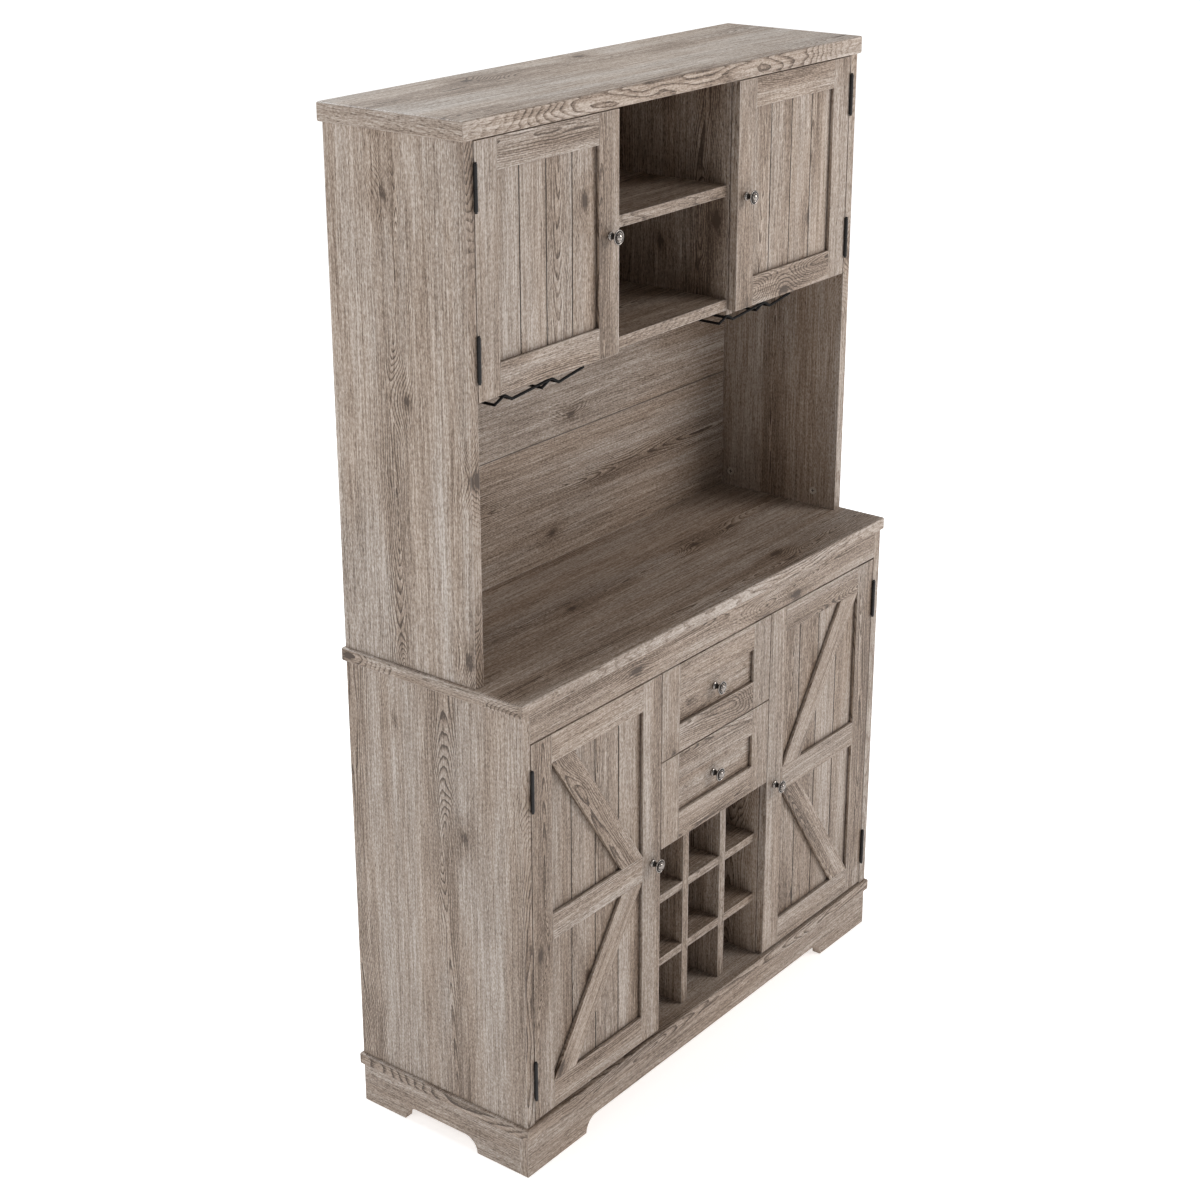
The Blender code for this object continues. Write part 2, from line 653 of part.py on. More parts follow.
def build_doors():
    """Two barn doors in the base and two plank doors in the hutch."""
    for word, side in SIDES:
        build_door(f"base_{word}_door", side, FACE, LOWER_DOOR_BOTTOM, LOWER_DOOR_TOP,
                   LOWER_HINGE_INSET, True)
        build_door(f"hutch_{word}_door", side, HUTCH_FACE, UPPER_DOOR_BOTTOM, UPPER_DOOR_TOP,
                   UPPER_HINGE_INSET, False)


def build_drawer(prefix, bottom):
    """Drawer front with a recessed field, its knob and its open box."""
    top = bottom + DRAWER_FRONT_HEIGHT
    joint = joint_empty(f"{prefix}_slide_axis", Vector((0, FACE, (bottom + top) / 2)))
    back = FACE + FRONT_THICKNESS
    front = node(f"{prefix}_front", "oak",
                 box((-DRAWER_FRONT_HALF, FACE, bottom), (DRAWER_FRONT_HALF, back, top)), joint)
    field_half = DRAWER_FRONT_HALF - STILE_WIDTH
    field_bottom = bottom + BOTTOM_RAIL_WIDTH
    field_top = top - TOP_RAIL_WIDTH
    cut(front, [box((-field_half, FACE - CUT_OVERRUN, field_bottom),
                    (field_half, FACE + PANEL_RECESS, field_top))])
    build_knob(prefix, (0, FACE + PANEL_RECESS - SEAT_GAP, (field_bottom + field_top) / 2), joint)
    box_half = BAY_HALF - DRAWER_SIDE_PLAY
    box_front = back + SEAT_GAP
    box_back = box_front + DRAWER_BOX_DEPTH
    box_bottom = bottom + DRAWER_BOARD_THICKNESS + SEAT_GAP
    box_top = box_bottom + DRAWER_BOX_HEIGHT
    tray = node(f"{prefix}_box", "oak",
                box((-box_half, box_front, box_bottom), (box_half, box_back, box_top)), joint)
    inside_half = box_half - DRAWER_WALL
    cut(tray, [box((-inside_half, box_front + DRAWER_WALL, box_bottom + DRAWER_FLOOR),
                   (inside_half, box_back - DRAWER_WALL, box_top + CUT_OVERRUN))])


def stem_riser(x, y, bottom, top):
    """Upright wire with the round pad that is screwed under a cupboard."""
    pad_bottom = top - STEM_PAD_THICKNESS
    profile = [
        (0, top),
        (STEM_PAD_RADIUS, top),
        (STEM_PAD_RADIUS, pad_bottom),
        (RISER_RADIUS, pad_bottom),
        (RISER_RADIUS, bottom),
        (0, bottom),
    ]
    return turned(profile, STEM_PAD_STEPS, Matrix.Translation((x, y, 0)))


def stemware_rack(start):
    """Two rails for the feet of glasses on each side of a slot, on zigzag wires hung from risers."""
    front = HUTCH_FACE + STEM_FRONT_SETBACK
    back = BACK_FACE - STEM_BACK_MARGIN
    height = NICHE_TOP - STEM_DROP
    peak = height + STEM_PEAK_RISE
    top = NICHE_TOP - SEAT_GAP
    lefts = [start, start + STEM_PITCH]
    crests = [left + STEM_PEAK_RUN for left in lefts]
    end = start + STEM_RACK_LENGTH
    pieces = []
    for y, inwards in ((front, WIRE_WELD), (back, -WIRE_WELD)):
        zigzag = [(start, y, height)]
        for left, crest in zip(lefts, crests):
            zigzag += [(crest, y, peak), (left + STEM_SLOT, y, height)]
        pieces.append(wire(zigzag + [(end, y, peak)], WIRE_RADIUS))
        pieces.append(wire([(lefts[1], y + inwards, height), (crests[1], y + inwards, peak)],
                           SIDE_WIRE_RADIUS))
        for x in crests + [end - RISER_RADIUS]:
            pieces.append(stem_riser(x, y, peak - WIRE_WELD, top))
    for left in lefts:
        for x in (left, left + STEM_SLOT):
            pieces.append(wire([(x, front - WIRE_WELD, height), (x, back + WIRE_WELD, height)],
                               SIDE_WIRE_RADIUS))
    return united(pieces)


def main():
    """Build the whole cabinet."""
    build_plinth()
    build_slabs()
    build_base_carcass()
    build_wine_rack()
    build_hutch_carcass()
    build_doors()
    build_drawer("upper_drawer", UPPER_DRAWER_BOTTOM)
    build_drawer("lower_drawer", LOWER_DRAWER_BOTTOM)
    left_start = -PARTITION_OUTER - LEFT_RACK_OFFSET - STEM_RACK_LENGTH
    node("stemware_rack_left", "iron", stemware_rack(left_start), smooth=True)
    node("stemware_rack_right", "iron", stemware_rack(PARTITION_OUTER + RIGHT_RACK_OFFSET), smooth=True)


main()
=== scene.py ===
"""Coffee bar cabinet in washed oak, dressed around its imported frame.

Laid out as a Blender add-on and run as a script. Metres, X to the right, Y to the back, Z up.
"""

import math

import bmesh
import bpy
from bpy.props import FloatProperty, FloatVectorProperty, PointerProperty
from mathutils import Matrix, Vector


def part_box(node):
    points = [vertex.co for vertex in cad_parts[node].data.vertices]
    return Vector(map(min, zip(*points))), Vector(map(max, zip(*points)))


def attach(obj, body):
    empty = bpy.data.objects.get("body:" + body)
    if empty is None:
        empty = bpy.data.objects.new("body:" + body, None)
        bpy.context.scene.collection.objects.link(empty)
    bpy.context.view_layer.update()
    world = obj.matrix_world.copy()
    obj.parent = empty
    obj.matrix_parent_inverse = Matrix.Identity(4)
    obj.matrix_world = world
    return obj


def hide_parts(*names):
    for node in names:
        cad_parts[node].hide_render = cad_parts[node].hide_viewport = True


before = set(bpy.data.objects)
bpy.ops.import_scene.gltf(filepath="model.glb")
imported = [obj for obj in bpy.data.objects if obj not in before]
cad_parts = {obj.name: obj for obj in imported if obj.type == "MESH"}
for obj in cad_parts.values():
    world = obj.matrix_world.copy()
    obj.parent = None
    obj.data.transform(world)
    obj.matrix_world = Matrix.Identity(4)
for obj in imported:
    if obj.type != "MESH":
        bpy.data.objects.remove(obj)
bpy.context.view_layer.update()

bl_info = {
    "name": "Coffee Bar Cabinet",
    "version": (1, 0, 0),
    "blender": (4, 5, 0),
    "location": "View3D > Sidebar > Cabinet",
    "description": "Dresses a farmhouse coffee bar cabinet: oak boards, nickel knobs, black hinges and racks",
    "category": "Object",
}

RIGHT = Vector((1, 0, 0))
BACKWARD = Vector((0, 1, 0))
UP = Vector((0, 0, 1))
SIDES = (("left", -1), ("right", 1))
UNITS = ("base", "hutch")
DRAWERS = ("upper_drawer", "lower_drawer")
WHITE = (1, 1, 1, 1)

# Clearance of fitted boards, a hair's breadth that keeps two faces from coinciding, and how near two corners
# are that count as one
FIT = 0.0003
HAIR = 0.0002
MERGED = 0.00002


def length(name, description, default):
    """Property for a size in metres."""
    return FloatProperty(name=name, description=description, default=default, min=0, unit="LENGTH",
                         precision=4)


def colour(name, description, default):
    """Property for a linear colour."""
    return FloatVectorProperty(name=name, description=description, default=default, size=3,
                               min=0, max=1, subtype="COLOR")


class CabinetSizes(bpy.types.PropertyGroup):
    """Sizes of the boards and fittings that the frame's boxes don't give."""

    stile: length("Stile width", "Upright members of doors and drawer fronts", 0.052)
    top_rail: length("Top rail width", "Upper rails of doors and drawer fronts", 0.051)
    middle_rail: length("Middle rail width", "Middle rails of the barn doors", 0.049)
    bottom_rail: length("Bottom rail width", "Lower rails of doors and drawer fronts", 0.053)
    brace_run: length("Brace run", "Length of a brace's level cut", 0.060)
    panel_recess: length("Panel recess", "Depth of the panels behind the frame faces", 0.008)
    arris: length("Arris", "Bevel on the boards' edges", 0.0007)
    member_arris: length("Member arris", "Bevel on the frame members' edges", 0.0009)
    back_arris: length("Back arris", "Bevel on the back boards' edges", 0.0003)
    plank_pitch: length("Plank pitch", "Distance between the grooves of a panel", 0.065)
    plinth_board: length("Plinth board", "Thickness of the plinth boards", 0.018)
    arch_height: length("Arch height", "Rise of the plinth's arches", 0.028)
    front_foot: length("Front foot", "Length of the front board's feet", 0.163)
    side_foot: length("Side foot", "Length of the side boards' feet", 0.097)
    rack_shelf: length("Rack shelf", "Thickness of the wine rack's shelves", 0.016)
    rack_upright: length("Rack upright", "Thickness of the wine rack's uprights", 0.018)
    wire: length("Wire", "Radius of the stemware racks' wires", 0.0024)
    stem_slot: length("Stem slot", "Width of a stemware rack's slots", 0.0435)
    stem_pitch: length("Stem pitch", "Distance between a stemware rack's slots", 0.1195)


class CabinetFinish(bpy.types.PropertyGroup):
    """Colours of the finishes."""

    oak_dark: colour("Oak pores", "Pores and darkest lines of the oak", (0.075, 0.052, 0.038))
    oak_brown: colour("Oak brown", "Brown bands of the oak", (0.222, 0.166, 0.127))
    oak_mid: colour("Oak wash", "General tone of the washed oak", (0.368, 0.300, 0.249))
    oak_light: colour("Oak light", "Whitest streaks of the wash", (0.590, 0.524, 0.474))
    shadow: colour("Shadow line", "Grooves, seams and inner edges of the frames", (0.028, 0.020, 0.015))
    board_back: colour("Board back", "Unfinished rear of the back boards", (0.300, 0.215, 0.150))
    nickel: colour("Nickel", "Aged nickel of the knobs", (0.35, 0.315, 0.29))
    iron: colour("Black iron", "Hinges and stemware racks", (0.011, 0.010, 0.010))
    zinc: colour("Zinc", "Cam fasteners", (0.62, 0.56, 0.50))


# Boards that are lighter (above 0) or darker than the rest, by the first entry that starts their name
# The countertop's darker tone is painted shade from the hutch above it
TONES = {
    "base_left_door": -0.03, "base_right_door": -0.09, "base_side": -0.05, "hutch_side": -0.03,
    "hutch_left_door_panel": -0.02, "hutch_left_door": -0.07, "hutch_right_door_panel": 0.03,
    "hutch_right_door": -0.08, "upper_drawer": -0.07, "lower_drawer": -0.09, "countertop": -0.08,
    "counter_apron": -0.02, "top_slab": -0.01, "plinth": -0.12, "hutch_lower_shelf": -0.20,
    "hutch_middle_shelf": -0.20, "hutch_back_top": -0.06, "hutch_back": -0.10, "hutch_divider": -0.22,
    "rack": -0.17, "floor_slab": -0.05,
}

# The same for the outer bands of two slabs: along their long edges and at their ends
# On the countertop the lighter edge bands paint the light on its edges beside the hutch's shade on its top
EDGE_TONES = {"countertop": (0.08, 0.10), "top_slab": (0.08, -0.12)}

# How far the planks of a panel differ in tone, how deep the shade of their grooves goes, and how dark the
# seams and the inner edges of the frames get
PLANK_SPREAD = 0.14
GROOVE_SHADE_DEPTH = 0.0034
SEAM_SHADE = 0.85
FRAME_EDGE_SHADE = 0.68


class Socket:
    """Output of a shader node that takes Python's operators."""

    def __init__(self, tree, output):
        self.tree = tree
        self.output = output

    def math(self, operation, *others):
        """Result of a Math node that starts with this value."""
        return self.tree.node("Math", {"operation": operation}, dict(enumerate((self, *others))))

    def after(self, operation, first):
        """Result of a Math node that starts with another value."""
        return self.tree.node("Math", {"operation": operation}, {0: first, 1: self})

    def __add__(self, other):
        return self.math("ADD", other)

    __radd__ = __add__

    def __sub__(self, other):
        return self.math("SUBTRACT", other)

    def __rsub__(self, other):
        return self.after("SUBTRACT", other)

    def __mul__(self, other):
        return self.math("MULTIPLY", other)

    __rmul__ = __mul__

    def __truediv__(self, other):
        return self.math("DIVIDE", other)

    def __rtruediv__(self, other):
        return self.after("DIVIDE", other)

    def __pow__(self, other):
        return self.math("POWER", other)

    def __rpow__(self, other):
        return self.after("POWER", other)

    def __abs__(self):
        return self.math("ABSOLUTE")

    def least(self, other):
        """Smaller of two values."""
        return self.math("MINIMUM", other)

    def most(self, other):
        """Larger of two values."""
        return self.math("MAXIMUM", other)

    def ramp(self, low, high):
        """Smooth step from 0 at low to 1 at high, or down where low is above high."""
        rising = high > low
        start, end = (low, high) if rising else (high, low)
        ends = {3: 0.0, 4: 1.0} if rising else {3: 1.0, 4: 0.0}
        return self.tree.node("MapRange", {"interpolation_type": "SMOOTHSTEP"},
                              {0: self, 1: start, 2: end, **ends})


class Shading:
    """Node tree under construction."""

    def __init__(self, tree):
        self.tree = tree

    def node(self, kind, settings=None, values=None, output=0):
        """Add a node: its type, its settings, the values or links of its sockets, and the output wanted."""
        made = self.tree.nodes.new(kind if kind.startswith("NodeGroup") else f"ShaderNode{kind}")
        for name, value in (settings or {}).items():
            if name == "stops":
                self.set_stops(made.color_ramp.elements, value)
            else:
                setattr(made, name, value)
        self.feed(made, values or {})
        return Socket(self, made.outputs[output]) if made.outputs else None

    def feed(self, node, values):
        """Give a node's sockets their values or links."""
        for key, value in values.items():
            if isinstance(value, Socket):
                self.tree.links.new(value.output, node.inputs[key])
            else:
                node.inputs[key].default_value = value

    def set_stops(self, elements, stops):
        """Places and colours of a ramp's stops, the two ends first."""
        for element, (place, value) in zip(elements, stops[:2]):
            element.position = place
            element.color = rgba(value)
        for place, value in stops[2:]:
            elements.new(place).color = rgba(value)

    def mix(self, factor, first, second, blend="MIX"):
        """Mix of two colours."""
        values = {0: factor, 6: first, 7: second}
        return self.node("Mix", {"data_type": "RGBA", "blend_type": blend}, values, 2)

    def vector(self, operation, first, second):
        """Vector Math on two vectors."""
        output = 1 if operation == "DOT_PRODUCT" else 0
        return self.node("VectorMath", {"operation": operation}, {0: first, 1: second}, output)

    def outputs(self, socket):
        """Every output of the node that a socket belongs to."""
        return [Socket(self, output) for output in socket.output.node.outputs]

    def split(self, vector):
        """Three parts of a vector."""
        return self.outputs(self.node("SeparateXYZ", {}, {0: vector}))

    def noise(self, place, detail, roughness):
        """Value of a noise whose scale is already in the place."""
        return self.node("TexNoise", {"noise_dimensions": "3D"},
                         {"Vector": place, "Scale": 1.0, "Detail": detail, "Roughness": roughness})


def rgba(value):
    """Colour with full alpha."""
    return (*value, 1.0)


def oak_figure(finish):
    """Node group of the washed oak, in a board's own coordinates: X across, Y through, Z along the grain."""
    group = bpy.data.node_groups.new("Washed oak", "ShaderNodeTree")
    for side, names, kind in (("INPUT", ("Place", "Half Size"), "Vector"),
                              ("INPUT", ("Seed", "Figure", "Tone", "Edge Tone", "End Tone"), "Float"),
                              ("OUTPUT", ("Color",), "Color"), ("OUTPUT", ("Roughness", "Height"), "Float")):
        for name in names:
            group.interface.new_socket(name, in_out=side, socket_type=f"NodeSocket{kind}")
    oak = Shading(group)
    place, half, seed, figure, shift, edge_tone, end_tone, _ = oak.outputs(oak.node("NodeGroupInput"))
    offset = oak.node("CombineXYZ", {}, {0: seed * 3.17, 1: seed * 1.31, 2: seed * 7.93})

    # The edge band on a board's ends has its grain along the edge
    x, y, z = oak.split(place)
    ends = (abs(z) - oak.split(half)[2]).ramp(-0.0007, -0.0004)
    edges = (abs(x) - oak.split(half)[0]).ramp(-0.0007, -0.0004)
    inward = oak.vector("SUBTRACT", half, oak.vector("ABSOLUTE", place, (0, 0, 0)))
    turned = oak.node("CombineXYZ", {}, {0: y, 1: z, 2: x})
    place = oak.node("Mix", {"data_type": "VECTOR"}, {0: ends, 4: place, 5: turned}, 1)
    x, y, z = oak.split(place)

    def streaks(across, along, shift, detail=1, roughness=0.5):
        """Noise stretched along the grain, moved by a shift of its own."""
        scaled = oak.vector("MULTIPLY", place, (across, across, along))
        moved = oak.vector("ADD", scaled, offset)
        return oak.noise(oak.vector("ADD", moved, (shift, shift, shift)), detail, roughness)

    # Growth rings around hearts that wander along the board, cut by its face
    cells = oak.node("CombineXYZ", {}, {0: x * 6.5 + seed * 3.17, 1: z * 3.4 + seed * 7.93})
    knots = oak.node("TexVoronoi", {"feature": "F1", "voronoi_dimensions": "2D"},
                     {"Vector": cells, "Scale": 1})
    knot_place, knot_colour = oak.outputs(knots)[:2]
    knot_kind = oak.node("SeparateColor", {}, {0: knot_colour})
    knotty = knot_kind.ramp(0.60, 0.68)
    swirl = knot_place.ramp(0.40, 0) * knotty
    wander = streaks(2, 1.4, 11) - 0.5
    ripple = streaks(22, 5, 23, 2, 0.55) - 0.5
    fine_ripple = streaks(150, 40, 37) - 0.5
    side = x + wander * 0.14 + ripple * 0.015 + swirl * 0.016 + seed * 0.37
    column = side.math("WRAP", -0.095, 0.095)
    depth = y + (streaks(2.2, 1.5, 5) - 0.5) * 0.25 + ripple * 0.014 + swirl * 0.06
    radius = (column * column * 4 + depth * depth).math("SQRT") + fine_ripple * 0.0016
    spread = streaks(30, 1.2, 51)
    rings = (radius / 0.0058 + spread * 2.8).math("FRACT")
    line = rings.ramp(0.30, 0.95) ** 2 * rings.ramp(1, 0.955)
    heart = abs(column).ramp(0.045, 0.012)
    band = abs(column).ramp(0.042, 0.016) * streaks(5, 3, 151).ramp(0.35, 0.60)
    shown = streaks(4, 2.2, 173).ramp(0.26, 0.44)
    torn_place = knot_place * (0.35 + streaks(130, 50, 211, 2, 0.6) * 1.30) + ripple * 0.06
    core = torn_place.ramp(0.075, 0) * knotty
    halo = torn_place.ramp(0.26, 0.03) * knotty
    line_strength = (0.30 + (heart * shown * 0.70).most(halo * 0.60)) * figure

    # Ticks, fine lines, bands and pores
    ticks = streaks(620, 150, 61, 2, 0.6) - 0.5
    fine = streaks(430, 9, 71, 3, 0.65) - 0.5
    speckle = streaks(330, 230, 191) - 0.5
    medium = streaks(120, 3, 83, 3, 0.6) - 0.5
    broad = streaks(24, 1.5, 97, 2) - 0.5
    patch = streaks(7, 2.6, 113) - 0.5
    pores = streaks(820, 60, 131).ramp(0.56, 0.70) * (0.35 + rings.ramp(0.3, 0.8) * 0.65)

    tone = 0.68 + shift + edges * edge_tone + ends * end_tone
    tone = tone + ticks * 1.10 + speckle * 0.55 + fine * 1.35 + medium * 0.50 + broad * 0.40 + patch * 0.24
    tone = tone - line * line_strength * 0.60 - band * 0.14 - pores * 0.34 - core * 0.66 - halo * 0.11

    stops = ((0, finish.oak_dark), (1, finish.oak_light), (0.32, finish.oak_brown), (0.62, finish.oak_mid))
    colours = oak.node("ValToRGB", {"stops": stops}, {0: tone})
    warmth = (band * 0.5 - broad * 2.2 + patch * 1.5 + halo * 0.5 + 0.40).ramp(0, 0.9)
    warm = oak.mix(warmth, colours, (0.97, 0.915, 0.86, 1), "MULTIPLY")

    # Rubbed arrises, lightened both as wear and as a painted highlight where edges catch the light:
    # where the second smallest distance to the board's faces is small
    gap_x, gap_y, gap_z = oak.split(inward)
    middle = gap_x.least(gap_y).most(gap_x.most(gap_y).least(gap_z))
    rubbed_and_highlight = middle.ramp(0.0022, 0.0002) * (0.55 + medium * 1.2)
    worn_and_highlit = oak.mix(rubbed_and_highlight * 0.35, warm, rgba(finish.oak_light))

    gloss = 0.50 - fine * 0.18 + pores * 0.15 + line * 0.05
    height = ticks * 0.4 + fine * 0.4 - pores * 0.8 - line * line_strength * 0.35
    oak.node("NodeGroupOutput", {}, {"Color": worn_and_highlit, "Roughness": gloss, "Height": height})
    return group


def new_material(name):
    """New material with its node tree and its shader."""
    material = bpy.data.materials.new(name)
    material.use_nodes = True
    return material, Shading(material.node_tree), material.node_tree.nodes["Principled BSDF"]


class Oak:
    """Makes one oak material for each board, each cut from another part of the log."""

    def __init__(self, finish):
        self.finish = finish
        self.figure = oak_figure(finish)
        self.count = 0

    def material(self, name, centre, half, along, through, figure=1.0, plank=None, back=None, window=None,
                 seam=None):
        """Oak for a board: its centre, half sizes in X, Y and Z, grain direction and face direction.

        A plank panel gives the planks' pitch and the depth of its face. A back board gives the depth of its
        unfinished rear and the height of a seam. A frame member gives its frame's window and front.
        """
        self.count += 1
        seed = self.count * 0.618 + 0.37
        material, tree, shader = new_material(f"oak {name}")
        across = along.cross(through).normalized()
        half_size = [sum(abs(direction[axis]) * half[axis] for axis in range(3))
                     for direction in (across, through, along)]
        world = tree.node("TexCoord", {}, {}, "Object")
        local = tree.vector("SUBTRACT", world, tuple(centre))
        own = tree.node("CombineXYZ", {}, {index: tree.vector("DOT_PRODUCT", local, tuple(direction))
                                           for index, direction in enumerate((across, through, along))})
        number = seed
        tone = next((tone for prefix, tone in TONES.items() if name.startswith(prefix)), 0.0)
        edge_tone, end_tone = EDGE_TONES.get(name, (0.0, 0.0))
        depth = tree.vector("DOT_PRODUCT", world, tuple(BACKWARD))
        dark = None
        if plank:
            pitch, face = plank
            across_face = tree.vector("DOT_PRODUCT", local, tuple(across))
            number = (across_face / pitch).math("FLOOR") * 1.73 + seed
            chance = tree.node("TexWhiteNoise", {"noise_dimensions": "1D"}, {"W": number})
            tone = chance * PLANK_SPREAD + (tone - PLANK_SPREAD / 2)
            bottom = face + GROOVE_SHADE_DEPTH
            dark = depth.ramp(face, face + 0.0005) * depth.ramp(bottom + 0.0004, bottom)
        if seam:
            dark = abs(tree.split(world)[2] - seam).ramp(0.0014, 0.0005) * SEAM_SHADE
        if window:
            *spans, front = window
            dark = depth.ramp(front + 0.0018, front + 0.0070) * FRAME_EDGE_SHADE
            for seen, (low, high) in zip(tree.split(world)[::2], spans):
                reach = (high - low) / 2
                dark = dark * abs(seen - (low + high) / 2).ramp(reach + 0.0006, reach + 0.0002)
        board = tree.node("Group", {"node_tree": self.figure},
                          {"Place": own, "Seed": number, "Half Size": half_size, "Figure": figure,
                           "Tone": tone, "Edge Tone": edge_tone, "End Tone": end_tone})
        colours, gloss, height = tree.outputs(board)
        if dark:
            colours = tree.mix(dark, colours, rgba(self.finish.shadow))
        if back:
            behind = depth.ramp(back - 0.0004, back)
            fibre = tree.noise(tree.vector("MULTIPLY", world, (180, 180, 180)), 4.0, 0.6)
            board_back = tree.mix(fibre.ramp(0.3, 0.7), rgba(self.finish.board_back),
                                  rgba(shade(self.finish.board_back, 0.78)))
            colours = tree.mix(behind, colours, board_back)
        bump = tree.node("Bump", {}, {"Strength": 0.35, "Distance": 0.0004, "Height": height})
        tree.feed(shader, {"Base Color": colours, "Roughness": gloss, "Normal": bump,
                           "Specular IOR Level": 0.38})
        return material


def speckled(name, base, second, metallic, roughness, spread, scale, bump_size, specular=0.5):
    """Painted or plated metal whose tone and gloss vary a little."""
    material, tree, shader = new_material(name)
    world = tree.node("TexCoord", {}, {}, "Object")
    broad = tree.noise(tree.vector("MULTIPLY", world, (scale,) * 3), 3.0, 0.6)
    fine = tree.noise(tree.vector("MULTIPLY", world, (scale * 6,) * 3), 2.0, 0.5)
    gloss = roughness + (broad - 0.5) * spread + (fine - 0.5) * spread
    tree.feed(shader, {
        "Base Color": tree.mix(broad.ramp(0.35, 0.7), rgba(base), rgba(second)),
        "Metallic": metallic,
        "Roughness": gloss,
        "Specular IOR Level": specular,
        "Normal": tree.node("Bump", {}, {"Strength": 0.3, "Distance": bump_size, "Height": fine}),
    })
    return material


def shade(value, factor):
    """Colour made lighter or darker."""
    return [min(1.0, part * factor) for part in value]


def new_object(name, data):
    """New object in the scene."""
    made = bpy.data.objects.new(name, data)
    bpy.context.scene.collection.objects.link(made)
    return made


def solid(name, bm, materials):
    """New object from a bmesh."""
    mesh = bpy.data.meshes.new(name)
    bm.to_mesh(mesh)
    bm.free()
    for material in materials:
        mesh.materials.append(material)
    return new_object(name, mesh)


def mesh_object(name, bm, materials, body, replaced=(), sharp=None):
    """Piece from a bmesh in the cabinet's coordinates, riding on a body, smooth below an angle in degrees."""
    bmesh.ops.recalc_face_normals(bm, faces=bm.faces)
    piece = solid(name, bm, materials)
    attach(piece, body)
    if replaced:
        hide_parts(*replaced)
    if sharp:
        piece.data.shade_smooth()
        piece.data.set_sharp_from_angle(angle=math.radians(sharp))
    return piece


def bevel_edges(piece, width):
    """Bevel on a piece's sharp edges."""
    bevel = piece.modifiers.new("Arris", "BEVEL")
    bevel.width = width
    bevel.segments = 2
    bevel.limit_method = "ANGLE"
    return bevel


def bevelled(piece, width):
    """Bevel on the sharp edges, with flat faces kept flat."""
    bevel_edges(piece, width).harden_normals = True
    piece.data.shade_smooth()


def box_mesh(low, high):
    """Bmesh of a block."""
    bm = bmesh.new()
    low, high = Vector(low), Vector(high)
    bmesh.ops.create_cube(bm, size=1, matrix=Matrix.Translation((low + high) / 2)
                          @ Matrix.Diagonal((high - low).to_4d()))
    return bm


def sweep(bm, faces, offset):
    """Extrude touching faces together by an offset."""
    edges = list(dict.fromkeys(edge for face in faces for edge in face.edges))
    swept = bmesh.ops.extrude_face_region(bm, geom=faces + edges)["geom"]
    moved = [item for item in swept if isinstance(item, bmesh.types.BMVert)]
    bmesh.ops.translate(bm, verts=moved, vec=offset)


def slab_mesh(outline, axis, low, high):
    """Bmesh of a flat outline given thickness along an axis; its points are in the other two coordinates."""
    bm = bmesh.new()

    def place(across, along, depth):
        """Point of the outline at a depth along the axis."""
        point = [across, along]
        point.insert("XYZ".index(axis), depth)
        return point

    face = bm.faces.new([bm.verts.new(place(across, along, low)) for across, along in outline])
    sweep(bm, [face], place(0, 0, high - low))
    return bm


def turned_mesh(profile, steps, placing):
    """Bmesh of a profile of (radius, height) points turned about the Z axis and placed.

    A face's material index is the third value of its profile point, if there is one.
    """
    bm = bmesh.new()
    turns = [2 * math.pi * step / steps for step in range(steps)]
    rings = []
    for radius, height, *_ in profile:
        if radius == 0:
            rings.append([bm.verts.new(placing @ Vector((0, 0, height)))] * steps)
            continue
        around = [Vector((radius * math.cos(turn), radius * math.sin(turn), height)) for turn in turns]
        rings.append([bm.verts.new(placing @ point) for point in around])
    for (_, _, *number), lower, upper in zip(profile, rings, rings[1:]):
        for step in range(steps):
            following = (step + 1) % steps
            corners = dict.fromkeys((lower[step], lower[following], upper[following], upper[step]))
            if len(corners) > 2:
                bm.faces.new(list(corners)).material_index = number[0] if number else 0
    return bm


class Workshop:
    """Materials and sizes that the operators share."""

    def __init__(self, scene):
        self.sizes = scene.cabinet_sizes
        self.finish = scene.cabinet_finish
        self.oak = Oak(self.finish)
        nickel = self.finish.nickel
        self.nickel = speckled("aged nickel", nickel, shade(nickel, 0.72), 1.0, 0.22, 0.12, 320.0, 0.00005)
        # Near-black nickel: patina in hollows, and painted shade under the knobs' heads and in the cams'
        # cross recesses
        self.patina_and_shade = speckled("nickel patina", shade(nickel, 0.13), shade(nickel, 0.07), 1.0, 0.45, 0.2,
                               320.0, 0.00005)
        iron = self.finish.iron
        self.iron = speckled("black iron", iron, shade(iron, 1.9), 0.0, 0.50, 0.2, 260.0, 0.00006, 0.30)
        self.zinc = speckled("zinc", self.finish.zinc, (0.50, 0.44, 0.38), 0.2, 0.35, 0.15,
                             320.0, 0.00004)
        self.wire = speckled("black wire", shade(iron, 0.45), shade(iron, 0.8), 0.0, 0.60, 0.2,
                             260.0, 0.00006, 0.15)

    def board(self, name, low, high, along, through, body, replaced, figure=1.0, bm=None, window=None,
              arris=None):
        """Oak board with bevelled arrises."""
        low, high = Vector(low), Vector(high)
        oak = self.oak.material(name, (low + high) / 2, (high - low) / 2, along, through, figure,
                                window=window)
        piece = mesh_object(name, bm or box_mesh(low, high), [oak], body, replaced)
        bevelled(piece, arris or self.sizes.arris)


SHOP = {}


def workshop():
    """The shared workshop, made on first use."""
    if not SHOP:
        SHOP["shop"] = Workshop(bpy.context.scene)
    return SHOP["shop"]


# Node or pair, grain direction, face direction and strength of the figure of each board that keeps its node
KEPT_BOARDS = (
    ("floor_slab", RIGHT, UP, 0.9),
    ("base_side", UP, RIGHT, 1.0),
    ("base_partition", UP, RIGHT, 0.8),
    ("counter_apron", RIGHT, BACKWARD, 0.8),
    ("countertop", RIGHT, UP, 1.0),
    ("drawer_deck", RIGHT, UP, 0.8),
    ("drawer_divider", RIGHT, UP, 0.8),
    ("hutch_side", UP, RIGHT, 1.0),
    ("hutch_divider", UP, RIGHT, 0.9),
    ("cupboard_bottom", RIGHT, UP, 0.8),
    ("hutch_lower_shelf", RIGHT, UP, 0.9),
    ("hutch_middle_shelf", RIGHT, UP, 0.9),
    ("top_slab", RIGHT, UP, 0.9),
)

